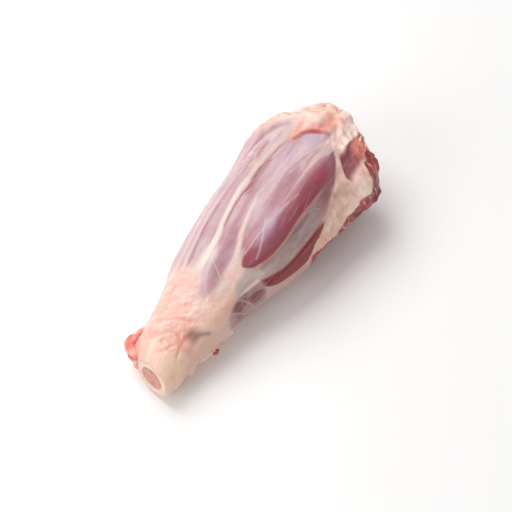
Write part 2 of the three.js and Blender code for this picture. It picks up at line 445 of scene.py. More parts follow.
# %% Outside of the meat
def skin_point(t, angle, relief):
    """A point of the outside: a rounded section closed in at the thick end, plus the relief."""
    x = skin_x(t, angle)
    side, up = side_and_up(angle)
    wide = np.where(side > 0, half_right(x) * closing(x, 168, 34),
                    half_left(x) * closing(x, 160, 56))
    high = np.where(up > 0, half_top(x) * (0.3 + 0.7 * closing(x, 178, 36)),
                    half_under(x) * (0.6 + 0.4 * closing(x, 166, 34)))
    n = SECTION_FULLNESS
    skin = (np.abs(side / wide) ** n + np.abs(up / high) ** n) ** (-1 / n) + relief
    lip = COLLAR_WALL + 1.8 * np.sqrt(ramp(t, LIP_BACK, COLLAR_BACK + 3))
    collar = bone_radius(t, angle, lip)
    blend = ramp(t, COLLAR_BACK - 1, COLLAR_BACK + 7)
    reach = collar + (skin - collar) * blend
    lift = BONE_LIFT * fade(t, COLLAR_BACK, COLLAR_BACK + 7)
    y = middle_y(x) - reach * side
    z = np.maximum(0.0, middle_z(x) + lift + reach * up)
    return np.stack([x - ORIGIN_FROM_SAW, y, z], -1)


# %% [markdown]
# ## The grid
# The skin's rows run round the bone and its columns along it. An even grid would spend as many
# points on the hidden side, so the columns stand closer together on the upper side, where the
# muscles show. One degree is about half a millimetre there, so a distance round the skin is the
# angle times the local millimetres per degree.

# %% Grid of the skin
SKIN_ROWS, COLUMNS = 330, 240
CROWDING, CROWDED_AT = 17.0, 20.0
NOISE_REACH, GRAIN_TWIST = 30, 0.25


def column_angles(count):
    """Angles all round, crowded at one side: an even angle less a sine of it."""
    even = np.linspace(-180, 180, count, endpoint=False) + CROWDED_AT
    return even - CROWDING * np.sin(np.radians(even - CROWDED_AT))


COLUMN_ANGLES = turned(column_angles(COLUMNS))
t_rows = np.linspace(LIP_BACK, BONE_LENGTH, SKIN_ROWS)
# t and the angle of every point of the grid
T, A = all_round(t_rows, COLUMN_ANGLES)
PER_DEGREE = np.radians(1) * (half_left(T) + half_right(T) + half_top(T) + half_under(T)) / 4


def rolled_up(angle):
    """Places for noise: t along the bone and a circle round it, so that no seam shows."""
    side, up = side_and_up(angle)
    return np.stack([T, NOISE_REACH * up, NOISE_REACH * side], -1)


ROUND = rolled_up(A)
# the bellies run a little aslant, so the grain turns round the bone with t
GRAIN = rolled_up(A + GRAIN_TWIST * (T - 110))
print("skin grid", T.shape)


# %% Masks on the skin
def away_from(line):
    """Millimetres round the skin from a line of angles, positive to its right."""
    return turned(A - line) * PER_DEGREE


def inside(left, right, soft):
    """1 between two lines on the skin, fading out over soft millimetres at each."""
    return (ramp(away_from(left), -soft / 2, soft / 2)
            * ramp(-away_from(right), -soft / 2, soft / 2))


def across(left, right):
    """The share of the way from one line to the other, 0 to 1."""
    return np.clip(turned(A - left) / np.maximum(1.0, turned(right - left)), 0, 1)


def dome(left, right):
    """A rounded section between two lines: the root of 4u(1 - u)."""
    u = across(left, right)
    return np.sqrt(4 * u * (1 - u))


# %% Stretches and sides of the skin
def stretch(start, end, soft):
    """1 between two values of t, fading over soft millimetres outside each."""
    return ramp(T, start - soft, start) * fade(T, end, end + soft)


def facing(angle, spread):
    """A soft side of the shank: a bell of the angle away from its middle."""
    return bump(turned(A - angle), 0, spread)


def round_curve(*places):
    """A smooth curve of t over the angle, for edges that run round the shank."""
    return path(A, *places)


def tell(**masks):
    """Prints how much of the skin each mask covers."""
    for name, mask in masks.items():
        print(name.replace("_", " "), f"{mask.mean():.1%} of the skin")


# %% Noises over the skin
WAVER = layered(ROUND / 9, 2, 31) - 0.5
COARSE = layered(ROUND / 15, 3, 1)
MIDDLE = layered(ROUND / 6, 3, 5)
FINE = layered(ROUND / 2.0, 3, 9)
FIBRES = 0.5 + 0.55 * (layered(GRAIN / np.array([26, 1.5, 1.5]), 3, 13) - 0.5)
# broad soft streaks of thicker and thinner silverskin, lumps of fat, and thin threads of fascia
VEILS = layered(GRAIN / np.array([38, 6, 6]), 3, 19)
CURDS = layered(ROUND / 4.0, 3, 29)
COBWEB = threads(ROUND / np.array([12, 6, 6]), 63, 0.05)
tell(cobweb=COBWEB)

# %% [markdown]
# ## Where each muscle lies
# A muscle belly is a long leaf under the silverskin. Bellies made as meshes of their own would
# part in cracks. So there is one skin, and a belly is a mask between two lines on it, which the
# relief and the paint both use. Each line is a smooth curve through a few judged places.
# Tendons, streaks and wrinkles are lines of some width, and spots are soft wavering ovals.


# %% Strokes
def band(line, half_width, soft=0.8):
    """A stripe along a line of angles over t: its half width and its edges' softness in mm."""
    distance = np.abs(away_from(line))
    return fade(distance, half_width - soft / 2, half_width + soft / 2)


def smooth_places(places, parts=5):
    """More places on the smooth curve through a few (t, angle) places."""
    share = np.linspace(0, len(places) - 1, (len(places) - 1) * parts + 1)
    t, angle = (path(share, *enumerate(v)) for v in zip(*places))
    return t, angle


def trace(width, *places):
    """A soft line through (t, angle) places in any direction: a bell of the distance to it."""
    t, angle = smooth_places(places)
    nearest = np.full(T.shape, 1e6)
    for t0, a0, t1, a1 in zip(t, angle, t[1:], angle[1:]):
        along_t, along_a = t1 - t0, (a1 - a0) * PER_DEGREE
        out_t, out_a = T - t0, away_from(a0)
        share = np.clip((out_t * along_t + out_a * along_a) / (along_t ** 2 + along_a ** 2), 0, 1)
        nearest = np.minimum(nearest, np.hypot(out_t - share * along_t, out_a - share * along_a))
    return bump(nearest, 0, width)


def blob(t, angle, length, width, soft=0.9):
    """A patch with a wavering edge: an ellipse of those half sizes in mm, soft at its rim."""
    distance = np.hypot((T - t) / length, away_from(angle) / width)
    return fade(distance + 0.5 * WAVER, 1 - soft, 1 + soft)


# %% Streaks and seams on the side that shows
# the long cream streak, the dark strip on its right, the seam that is a hair at the top and a
# broad band lower down, and the fascia that comes down from the fat at the thick end
streak_line = path(T, (52, -10), (62, -11), (70, -13), (80, -16), (90, -20), (100, -23),
                   (110, -24.5), (120, -26), (130, -29), (140, -28.5), (150, -27), (170, -28))
streak_half = path(T, (52, 1.8), (70, 2.3), (80, 1.8), (100, 1.5), (112, 1.7), (124, 1.3),
                   (140, 2.0), (162, 2.8))
dark_line = path(T, (84, -14), (92, -17), (100, -19), (108, -18.5), (114, -18), (120, -20.5),
                 (128, -23.5), (136, -24.5), (146, -23), (152, -21))
seam_line = path(T, (52, 34), (60, 32), (66, 30), (70, 27.5), (75, 23.5), (80, 18.5), (84, 13.5),
                 (88, 9.5), (94, 5.5), (100, 2.5), (106, -0.5), (112, -3.5), (120, -2), (130, 2),
                 (142, 6), (156, 12), (165, 17))
seam_half = path(T, (52, 3.2), (66, 2.5), (80, 1.9), (90, 1.5), (96, 1.2), (106, 0.9),
                 (112, 0.6), (124, 0.4), (150, 0.5), (165, 1.2))
fascia_line = path(T, (104, 27), (112, 25), (120, 23.5), (130, 22), (140, 20.5), (148, 19.5),
                   (155, 20.5), (162, 22), (172, 22))
fascia_half = path(T, (104, 0.3), (120, 0.4), (135, 0.6), (145, 1.2), (155, 2.2), (165, 3.4))
tell(streak=band(streak_line, streak_half), seam=band(seam_line, seam_half))

# %% The deep red belly, with the pale one to its left
deep_left = path(T, (73, 34), (76, 29.5), (80, 26), (84, 22), (90, 20), (100, 21), (110, 22),
                 (130, 21), (140, 20.5), (150, 22.5), (158, 25.5), (163, 28))
deep_right = path(T, (73, 35), (76, 43), (82, 49), (88, 51.5), (94, 51.5), (100, 50), (106, 47.5),
                  (112, 45.5), (120, 44), (130, 43.5), (140, 43.5), (148, 43.5), (153, 41),
                  (157, 35.5), (160, 29), (163, 28))
deep_soft = path(T, (78, 1.2), (86, 5.0), (104, 5.0), (124, 2.0))
deep = inside(deep_left, deep_right, deep_soft) * stretch(74, 162, 1.0)
pale_left = path(T, (49, 18), (52, 11), (58, 4.5), (64, 0), (70, -3.5), (78, -8), (84, -12),
                 (92, -16), (100, -19), (112, -21), (128, -24), (146, -23), (156, -16), (168, -14))
low_right = path(T, (49, 20), (54, 25.5), (60, 26.5), (66, 25), (72, 23), (78, 22), (84, 22))
pale_right = np.where(T < 84, low_right, deep_left + 9)
pale = inside(pale_left, pale_right, 2.0) * stretch(50, 174, 3)
tell(deep_belly=deep, pale_belly=pale)

# %% The grey sheet, the dark red strip under it, and the fat beyond
sheet_right = path(T, (62, 58), (70, 60), (76, 63), (82, 66), (92, 69), (100, 67.5), (110, 64.5),
                   (118, 63), (126, 62), (132, 60), (138, 56), (144, 51.5), (150, 46.5),
                   (156, 40), (160, 34.5), (164, 27))
strip_right = path(T, (74, 64), (78, 75), (84, 85), (92, 89.5), (100, 89.5), (106, 87), (110, 82),
                   (116, 74.5), (122, 68), (128, 62))
sheet = inside(deep_right, sheet_right, 1.4) * stretch(76, 162, 2)
sheet_foot = inside(path(T, (62, 50), (70, 46), (78, 36)), sheet_right, 3.0) * stretch(66, 80, 5)
sheet = np.maximum(sheet, sheet_foot * (1 - deep))
dark_strip = inside(sheet_right, strip_right, 1.4) * stretch(77, 126, 2)
trim_line = path(T, (100, 91), (110, 90), (120, 89), (130, 88.5), (140, 86), (150, 79), (158, 76),
                 (164, 76), (168, 68), (172, 58), (177, 52), (182, 47), (187, 42)) + 9 * WAVER
fat_left = np.where(T > 126, sheet_right, np.maximum(strip_right, sheet_right))
fat_band = inside(fat_left, trim_line, 2.4) * ramp(T, 98, 110)
tell(sheet=sheet, dark_strip=dark_strip, fat_band=fat_band)

# %% Window in the fat, dark patches near the ankle, and the raw trimmed flank
window = inside(path(T, (155, 55), (158, 50), (161, 43), (163, 37), (166, 34.5), (172, 33.5),
                     (182, 36)),
                path(T, (155, 57), (158, 56.5), (162, 55), (166, 54), (170, 52.5), (176, 50.5),
                     (182, 47)), 3.6) * stretch(158, 183, 4)
window = window * ramp(window + 1.4 * WAVER + 0.5 * (FINE - 0.5), 0.15, 0.75)
net_ground = inside(path(T, (46, 72), (54, 66), (64, 59), (80, 64)), 108, 3.0) * stretch(52, 76, 5)
net_ground = net_ground * ramp(net_ground + 2.0 * WAVER - 0.4 * ramp(A, 92, 106), 0.1, 0.9)
patches = np.clip(blob(71, 80, 5.5, 4.8, 0.4) + blob(60, 69, 6.5, 4.4, 0.45)
                  + 0.6 * blob(58, 86, 4, 6, 0.7), 0, 1)
purple_spot = blob(28, 43.5, 3.8, 3.2)
flank_end = path(T, (96, 150), (130, 156), (187, 158))
flank_start = T + 24 * WAVER - 0.3 * (A - 92)
flank = inside(trim_line, flank_end, 1.6) * ramp(flank_start, 100, 110)
tell(window=window, patches=patches, flank=flank)

# %% Bellies on the far side and underneath
back_seam = path(T, (50, -82), (110, -76), (168, -76)) + 6 * WAVER
under_seam = path(T, (50, -108), (110, -114), (168, -112)) + 6 * WAVER
sole_seam = path(T, (56, -146), (110, -154), (165, -150))
near_seam = path(T, (56, 140), (96, 132), (110, 156), (165, 160))
back_belly = inside(under_seam + 3, back_seam - 3, 2.0) * stretch(60, 158, 10)
under_belly = inside(sole_seam + 3, under_seam - 3, 2.0) * stretch(66, 154, 10)
sole_belly = inside(near_seam + 3, sole_seam - 3, 2.0) * stretch(64, 150, 10)
# a tan strip low on the -Y side: the fat's tan, partly painted shade of a side turned from the
# light
shaded_tan_side = inside(path(T, (58, 104), (74, 92), (84, 89), (100, 91), (112, 90)), 132, 5.0)
shaded_tan_side = shaded_tan_side * stretch(66, 108, 8)
tell(back_belly=back_belly, under_belly=under_belly, sole_belly=sole_belly)

# %% Edge of the knuckle's fat
knuckle_edge = round_curve((-180, 60), (-130, 56), (-90, 50), (-60, 54), (-40, 57), (-25, 60),
                           (-12, 62), (-2, 57), (6, 50), (16, 47), (24, 49), (28, 58), (33, 67),
                           (40, 67), (47, 61), (54, 59), (60, 54), (66, 49), (90, 48), (120, 60),
                           (150, 62), (180, 60)) + 8 * WAVER
# away from the side that shows, both edges run out in tongues along the grain
far_round = ramp(np.abs(turned(A - 15)), 82, 104)
tongues = far_round * (34 * (VEILS - 0.5) + 16 * (FIBRES - 0.5))
knuckle_edge = knuckle_edge + tongues
knuckle_fat = fade(T, knuckle_edge - 5, knuckle_edge + 8)
tell(knuckle_fat=knuckle_fat)

# %% Edge of the fold that lies over the bellies at the thick end
fold_edge = round_curve((-180, 158), (-130, 160), (-90, 158), (-66, 159), (-52, 160), (-45, 163),
                        (-38, 166), (-28, 168), (-24, 167), (-21, 158.5), (-17.5, 154.5),
                        (-14, 156), (-12, 159), (-9, 161.5), (-4, 163.4), (3, 165.2),
                        (10, 167), (16, 168.5), (22, 166), (27, 163.5), (60, 172), (100, 176),
                        (150, 164), (180, 158)) + 2.5 * WAVER - 0.7 * tongues
fold_soft = 0.7 + 2.6 * ramp(np.abs(A + 5), 21, 34)
end_fat = ramp(T, fold_edge - fold_soft, fold_edge + fold_soft) * (1 - flank)
tell(end_fat=end_fat)

# %% [markdown]
# ## Relief of the skin
# Under the silverskin each belly is a long swelling with a groove at its border. The fat lies on
# top of the bellies in soft lumps, and at the thick end it ends in a rolled edge. The skin at the
# knuckle is drawn up in wrinkles that run slantwise round the bone. A bump map could fake this,
# but the outline would stay smooth, so it is a height in millimetres that moves the skin itself.


# %% Swellings shared with the solids
def ridge(start, end, spread, rise):
    """A long swelling: its crest runs straight from one (t, angle) to another, a bell across."""
    share = (T - start[0]) / (end[0] - start[0])
    crest = start[1] + (end[1] - start[1]) * share
    shown = ramp(share, -0.05, 0.25) * fade(share, 0.75, 1.05)
    return rise * shown * facing(crest, spread)


def lump(t, angle, length, spread, rise):
    """A rounded lump or hollow at one place: a bell along t times a bell of the angle."""
    return rise * bump(T, t, length) * facing(angle, spread)


swellings = (ridge((70, 37), (164, 30), 17, 4.2) + ridge((84, 12), (172, 4), 13, 1.6)
             + ridge((46, 12), (124, -22), 12, 1.6) + ridge((66, 76), (142, 56), 9, 1.4)
             + ridge((40, -150), (170, -140), 24, 1.6) + ridge((50, -90), (160, -80), 15, 1.5))
grooves = (ridge((72, 24), (160, 16), 5, -0.6) + ridge((62, 54), (150, 50), 6, -1.6)
           + ridge((60, -8), (160, -34), 5, -0.5) + ridge((50, -118), (170, -108), 6, -1.4))
lumps = (lump(171, -10, 5, 20, 2.6) + lump(162, 70, 12, 14, 2.2) + lump(162, 47, 9, 9, -2.0)
         + lump(166, -48, 12, 14, 2.2) + lump(179, 57, 5, 9, -3.0) + lump(179, -50, 7, 12, -4.0)
         + lump(20, -38, 9, 34, 2.0) + lump(8, -82, 8, 13, 2.0) + lump(36, 100, 10, 26, 1.6))
flank_step = -2.0 * ramp(A, 94, 102) * fade(A, 150, 166) * ramp(T, 104, 128)
print("swellings rise up to", round(float((swellings + lumps).max()), 1), "mm")

# %% Wrinkles of the knuckle
# arcs round the collar, slanting creases, the pale bulge between two of them
from_collar = np.hypot(T - 2, away_from(-6))
collar_arcs = (bump(from_collar, 9.0, 0.7) + bump(from_collar, 12.0, 0.8)
               + bump(from_collar, 15.0, 0.9)) * bump(A, -8, 30)
creases = np.clip(trace(0.9, (11, -44), (15, -21), (20, -4), (23, 18), (20, 34))
                  + 0.8 * trace(0.9, (7, -6), (11, 9), (17, 22), (21, 32))
                  + trace(1.0, (24, -32), (28, -10), (31, 8), (33, 26))
                  + trace(1.2, (15, 38), (20, 35), (26, 37), (29, 42))
                  + 0.7 * trace(0.8, (46, -36), (36, -33), (27, -34)), 0, 1)
pale_bulge = trace(2.4, (20, -30), (24, -8), (27.5, 12))
slant = np.stack([(T - 0.16 * A) / 3.0, A / 15, 0 * T], -1)
wrinkled = bump(A, -8, 72) * ramp(T, 6, 14) * fade(T, 40, 62)
wrinkles = layered(slant, 3, 21)
slant_folds = (wrinkles - 0.5) * wrinkled
edge_skin = trace(1.1, (18, 110), (28, 106), (40, 101), (50, 104)) * ramp(FINE, 0.35, 0.6)
tell(creases=creases, wrinkled=wrinkled)

# %% Relief of the bellies and the streaks
fat = np.clip(np.maximum.reduce([knuckle_fat, end_fat, fat_band]), 0, 1) * (1 - flank)
fat = fat * (1 - window) * (1 - 0.8 * patches)
bellies = (0.8 * deep * dome(deep_left, deep_right) - 0.35 * sheet
           + 0.5 * dark_strip * dome(sheet_right, strip_right)
           + 0.8 * back_belly + 0.7 * under_belly + 0.5 * sole_belly)
streaks = (0.45 * band(streak_line, streak_half, 2.4) * stretch(66, 158, 10)
           + 0.35 * band(seam_line, seam_half, 2.6) * stretch(64, 150, 8)
           + 0.5 * band(fascia_line, fascia_half, 2.0) * stretch(128, 170, 10)
           - 0.35 * band(dark_line, 0.7, 1.6) * stretch(88, 148, 8)
           + 0.5 * blob(69, -13, 5, 3, 0.8)
           + 0.35 * trace(0.9, (57, -34), (74, -38), (90, -46), (112, -50), (150, -46))
           - 0.4 * band(deep_right, 0.7, 1.6) * stretch(78, 150, 4))
tell(all_fat=fat)

# %% Relief of the fat, the folds and the torn flank
fold_height = 0.5 + 1.3 * bump(A, -5, 17)
rolled_edge = fold_height * end_fat * fade(T - fold_edge, 1, 14) + 0.5 * end_fat
trim_lip = 0.9 * band(trim_line - 4, 1.0, 2.6) * stretch(112, 178, 8) * ramp(MIDDLE, 0.3, 0.6)
folds = (rolled_edge + trim_lip + 0.7 * fat_band - 0.9 * window
         + 1.2 * blob(160, 66, 9, 5) + 1.0 * blob(176, 45, 5, 4)
         + 0.5 * pale_bulge - 0.6 * creases - 0.25 * collar_arcs + 2.0 * edge_skin)
lumpy = fat * (1.5 * (MIDDLE - 0.5) + 0.35 * (FINE - 0.5)) * ramp(T, 4, 20)
end_lumps = end_fat * ramp(T, 158, 170) * 2.1 * (CURDS - 0.5) + 4.0 * fat_band * (CURDS - 0.5)
end_rag = ramp(T, 158, 178) * 6.0 * (layered(ROUND / 6, 2, 23) - 0.5)
sinew = (1 - fat) * (1 - flank) * 0.15 * (FIBRES - 0.5)
torn = flank * (3.4 * (layered(ROUND / np.array([6, 3, 3]), 3, 41) - 0.5) - 0.2)
relief = (swellings + grooves + lumps + flank_step + bellies + streaks + folds + lumpy + end_lumps
          + end_rag + 1.7 * slant_folds + sinew + torn)
skin = skin_point(T, A, relief)
print("skin relief in mm", round(float(relief.min()), 2), round(float(relief.max()), 2))


# %% [markdown]
# ## Colour of the skin
# The colour is laid on like washes of paint, from the bottom up: the thin silverskin over muscle,
# the fat, each belly, the cream streaks, and the blood-red places. It could be a picture wrapped
# round the shank, but that needs a flat layout and shows its seam. Stored on the vertices, it
# uses the same masks as the relief and sits on the shape in every view. Each row below is a
# strength, a tone and the place it goes to. The tones are mixed one by one.


# %% Paint box
def tone(red, green, blue):
    """A colour of 0 to 255 as seen, turned into the linear light that the shader works in."""
    c = np.array([red, green, blue]) / 255.0
    return np.where(c <= 0.04045, c / 12.92, ((c + 0.055) / 1.055) ** 2.4)


def wash(paint, mask, colour):
    """The paint, mixed towards a colour by a mask of 0 to 1."""
    return paint + (colour - paint) * np.clip(mask, 0, 1)[..., None]


def washes(paint, *layers):
    """Washes one over the other: each is a strength, a colour and a mask."""
    for strength, colour, mask in layers:
        paint = wash(paint, strength * mask, colour)
    return paint


def plain(colour, points):
    """One colour for all of a piece's points."""
    return np.zeros(points.shape) + colour


# %% Tones
FAT_CREAM, FAT_WHITE, FAT_PINK = tone(240, 206, 188), tone(245, 222, 209), tone(237, 184, 170)
FAT_ORANGE, FAT_BAND, FAT_DEEP = tone(238, 158, 136), tone(224, 180, 160), tone(228, 164, 146)
VEIL, VEIL_WHITE, STRIP = tone(204, 170, 174), tone(224, 206, 206), tone(182, 128, 138)
PALE_TOP, PALE_MIDDLE, PALE_LOW = tone(204, 174, 186), tone(188, 141, 150), tone(186, 140, 149)
# the bluish sheen tone on the next line is a painted highlight, the soft reflection of the light
# on wet silverskin
DEEP_RED, DEEP_PLUM, PAINTED_SHEEN = tone(151, 61, 70), tone(156, 84, 97), tone(186, 172, 200)
SHEET, SHEET_TOP, DARK_STRIP = tone(154, 123, 125), tone(142, 72, 80), tone(132, 32, 36)
STREAK, STREAK_PINK, TENDON = tone(231, 215, 205), tone(219, 192, 184), tone(212, 200, 184)
# the last red on the next line colours the line under the fold's edge, which is partly painted
# shadow
RAW_RED, RAW_DARK, FOLD_SHADOW_RED = tone(182, 72, 68), tone(122, 38, 40), tone(190, 72, 66)
PURPLE, MAUVE, GREY_VEIL = tone(128, 70, 78), tone(198, 126, 124), tone(190, 172, 178)
# the side tan on the next line is the fat's tan with painted shade, for sides turned from the
# light
WINDOW_RED, BAND_SHADE, SHADED_SIDE_TAN = tone(150, 80, 82), tone(190, 154, 142), tone(204, 164, 148)
BELLY_RED, KNUCKLE_CREAM, PATCH = tone(160, 88, 98), tone(234, 198, 176), tone(124, 62, 70)
# the collar tan on the next line is painted light for the knuckle's -Y side
COLLAR_PINK, PAINTED_LIGHT_TAN, SHEET_LOW = tone(234, 178, 160), tone(240, 202, 174), tone(170, 148, 142)
KNUCKLE_PINK, PALE_FOOT = tone(234, 184, 176), tone(206, 168, 172)
NET_GREY, SINEW_TAN, CORAL = tone(170, 130, 126), tone(222, 190, 160), tone(246, 130, 108)
print("cream fat in linear light", FAT_CREAM.round(2))

# %% Silverskin
paint = washes(
    plain(VEIL, skin),
    (0.45, STRIP, ramp(COARSE, 0.48, 0.66)),
    (0.4, VEIL_WHITE, ramp(VEILS, 0.5, 0.62)),
    (0.1, VEIL_WHITE, ramp(FIBRES, 0.5, 0.62)))

# %% Fat
pink_side = ramp(T, 9, 16) * fade(T, 50, 70) * facing(-12, 56)
# the -Y side of the knuckle's fat: its tan, partly painted shade of a side turned from the light
shaded_right_side = bump(T, 34, 24) * facing(84, 26)
fat_tone = washes(
    plain(FAT_CREAM, skin),
    (0.8, FAT_PINK, ramp(COARSE, 0.46, 0.62) * ramp(MIDDLE, 0.3, 0.6)),
    (0.5, FAT_WHITE, ramp(MIDDLE, 0.55, 0.68)),
    (0.4, FAT_DEEP, ramp(1 - MIDDLE, 0.52, 0.66)),
    (0.75, FAT_BAND, fat_band * fade(T, 146, 158)),
    (0.45, FAT_WHITE, fat_band * ramp(CURDS, 0.5, 0.62)),
    (0.5, FAT_WHITE, end_fat * ramp(CURDS, 0.5, 0.6)),
    (0.55, FAT_ORANGE, end_fat * ramp(1 - CURDS, 0.5, 0.62)),
    (0.75, KNUCKLE_PINK, pink_side),
    (0.3, FAT_ORANGE, wrinkled * ramp(1 - wrinkles, 0.5, 0.62)),
    (0.3, FAT_WHITE, wrinkled * ramp(wrinkles, 0.5, 0.6)),
    (0.7, SHADED_SIDE_TAN, shaded_right_side))
paint = wash(paint, fat, fat_tone)

# %% Tones of the pale belly
upper_left = ramp(T, 112, 140) * fade(A, -6, 14)
pale_tone = washes(
    plain(PALE_LOW, skin),
    (1, PALE_MIDDLE, ramp(T, 80, 104)),
    (1, PALE_TOP, np.maximum(upper_left, ramp(T, 146, 164))),
    (0.4, VEIL_WHITE, ramp(VEILS, 0.48, 0.64)),
    (0.45, STRIP, ramp(1 - VEILS, 0.5, 0.64)),
    (0.06, VEIL_WHITE, ramp(FIBRES, 0.5, 0.62)),
    # the bluish sheen blobs in this list are painted highlights, the soft reflection of the light
    # on the wet silverskin
    (0.3, PAINTED_SHEEN, blob(76, 14, 5, 3)),
    # this paler blob is the belly's pale lilac with painted highlight
    (0.7, PALE_TOP, blob(103, 14, 6, 3.2)),
    (0.7, STRIP, trace(2.4, (78, -8), (92, -5), (104, -7), (114, -10))),
    (0.4, STRIP, trace(3.2, (118, -13), (130, -17), (146, -18))),
    (0.4, VEIL_WHITE, blob(151, 5, 7, 4)),
    (0.5, PAINTED_SHEEN, blob(161, 1, 4.5, 5)),
    (0.6, PALE_FOOT, fade(T, 50, 66)))

# %% Tones of the deep belly
u_deep = across(deep_left, deep_right)
deep_tone = washes(
    plain(DEEP_PLUM, skin),
    (1, DEEP_RED, ramp(u_deep, 0.5, 0.95)),
    # darker red towards the thick end: the muscle's own deep red, deepened as painted shade
    (0.8, DEEP_RED, ramp(T, 112, 134) * ramp(u_deep, 0.25, 0.6)),
    (0.6, DEEP_RED, fade(T, 76, 88)),
    (0.8, PALE_MIDDLE, fade(u_deep, 0.05, 0.4) * ramp(T, 82, 92)),
    # the bluish sheen blobs and streaks below are painted highlights, the soft reflection of the
    # light on the wet silverskin
    (0.6, PAINTED_SHEEN, blob(101, 25, 8, 2.0, 0.7) * ramp(MIDDLE, 0.3, 0.6)),
    (0.35, PAINTED_SHEEN, blob(93, 30, 7, 1.6, 0.7)),
    (0.5, STRIP, blob(90, 23, 7, 2.0, 0.7)),
    (0.2, PAINTED_SHEEN, ramp(VEILS, 0.5, 0.64)),
    (0.05, PAINTED_SHEEN, ramp(FIBRES, 0.5, 0.62)))

# %% Tones of the sheet, the strip and the far bellies
sheet_tone = washes(
    plain(SHEET_LOW, skin),
    (1, SHEET, ramp(T, 94, 110)),
    (1, SHEET_TOP, ramp(T, 122, 144)),
    (0.2, VEIL_WHITE, ramp(FIBRES, 0.46, 0.6) * fade(T, 124, 142)),
    (0.12, VEIL_WHITE, ramp(VEILS, 0.5, 0.64)))
strip_tone = wash(plain(DARK_STRIP, skin), 0.2 * ramp(FIBRES, 0.5, 0.62), RAW_RED)
back_tone = washes(
    plain(STRIP, skin),
    (0.7, PALE_LOW, ramp(FIBRES, 0.5, 0.6)),
    (0.6, BELLY_RED, ramp(COARSE, 0.5, 0.66)),
    (0.5, PALE_TOP, ramp(1 - COARSE, 0.5, 0.62)))

# %% The bellies painted in
for mask, belly in ((pale, pale_tone), (deep, deep_tone), (sheet, sheet_tone),
                    (dark_strip, strip_tone), (back_belly, back_tone),
                    (under_belly, back_tone), (sole_belly, back_tone)):
    paint = wash(paint, mask * (1 - end_fat) * (1 - knuckle_fat), belly)
print("mean colour with the bellies", paint.mean((0, 1)).round(3))

# %% Strips and white lines left of the streak
MUSCLE_ONLY = (1 - end_fat) * (1 - window)
paint = washes(
    paint,
    (0.75, STRIP, trace(1.6, (60, -33), (75, -39), (90, -41), (112, -40), (130, -40))),
    (0.6, BELLY_RED, trace(0.9, (62, -31), (76, -38), (90, -41), (100, -41))),
    (0.55, BELLY_RED, trace(1.5, (138, -55), (146, -53), (153, -48), (160, -43)) * MUSCLE_ONLY),
    (0.55, BELLY_RED, trace(1.4, (130, -41), (138, -40), (148, -38)) * MUSCLE_ONLY),
    (0.6, VEIL_WHITE, trace(1.6, (152, -38), (157, -35), (162, -31))),
    (0.8, VEIL_WHITE, trace(1.5, (57, -36), (74, -42), (90, -46), (104, -46), (120, -47))),
    (0.7, VEIL_WHITE, trace(1.0, (120, -47), (134, -50), (148, -46), (162, -34))),
    (0.5, VEIL_WHITE, trace(1.0, (84, -56), (104, -60), (124, -64), (146, -64))),
    (0.4, STRIP, trace(3.2, (112, -50), (126, -51), (140, -56))),
    (0.5, STREAK, trace(1.3, (50, -52), (66, -52), (90, -60), (110, -68))),
    (0.5, GREY_VEIL, trace(2.0, (60, -24), (80, -29), (100, -32), (124, -35))),
    (0.35, STRIP, trace(1.8, (102, -29), (112, -31), (124, -34), (138, -37))))

# %% Cream streak, its dark strip and knot, and the seam
paint = washes(
    paint,
    (0.8, BELLY_RED, band(dark_line, 0.9, 1.4) * stretch(90, 146, 8)),
    (0.65, BELLY_RED, band(dark_line + 2.5, 2.0, 2.4) * stretch(112, 136, 5)),
    (0.95, STREAK, band(streak_line + 4 * WAVER, streak_half, 1.3) * stretch(62, 128, 8)),
    (0.85, STREAK_PINK, band(streak_line + 4 * WAVER, streak_half, 1.6) * stretch(120, 166, 8)),
    (0.85, STREAK, blob(69, -13, 6, 3.2, 0.8)),
    (0.6, STREAK, blob(117, -25.5, 4, 2.4, 0.8)),
    (0.9, STREAK_PINK, band(seam_line + 3 * WAVER, seam_half, 1.8) * stretch(58, 165, 8)),
    (0.5, STREAK, band(seam_line + 3 * WAVER, 0.6 * seam_half, 1.8) * stretch(58, 110, 8)),
    (0.8, STREAK_PINK, band(fascia_line + 3 * WAVER, fascia_half, 1.4) * ramp(T, 112, 150)),
    (0.5, STREAK_PINK, trace(0.8, (134, 9), (146, 12), (156, 15), (166, 20))),
    (0.4, VEIL_WHITE, trace(0.4, (81, 40), (90, 31), (102, 20))),
    (0.35, VEIL_WHITE, trace(0.4, (80, 27), (90, 25), (102, 25), (124, 29))),
    (0.4, VEIL_WHITE, trace(0.4, (60, 28), (64, 12), (68, -2))),
    (0.5, VEIL_WHITE, trace(0.7, (49, 21), (52, 13), (58, 5), (66, -2), (74, -7))))

# %% Rim of the deep belly, and the tendon beside it
paint = washes(
    paint,
    (0.75, FAT_ORANGE, band(deep_right + 0.5, 0.7, 1.2) * stretch(84, 118, 10)),
    (0.5, FAT_ORANGE, band(deep_right + 0.5, 0.5, 1.2) * stretch(118, 134, 10)),
    (0.75, FAT_CREAM, blob(69, 34, 7, 5) * (1 - deep)),
    (0.8, TENDON, trace(2.2, (61, 50), (67, 47), (74, 51), (79, 55))),
    (0.35, STREAK_PINK, sheet * fade(T, 72, 92)),
    (0.12, VEIL_WHITE, COBWEB * (1 - fat) * (1 - deep) * (1 - dark_strip)))

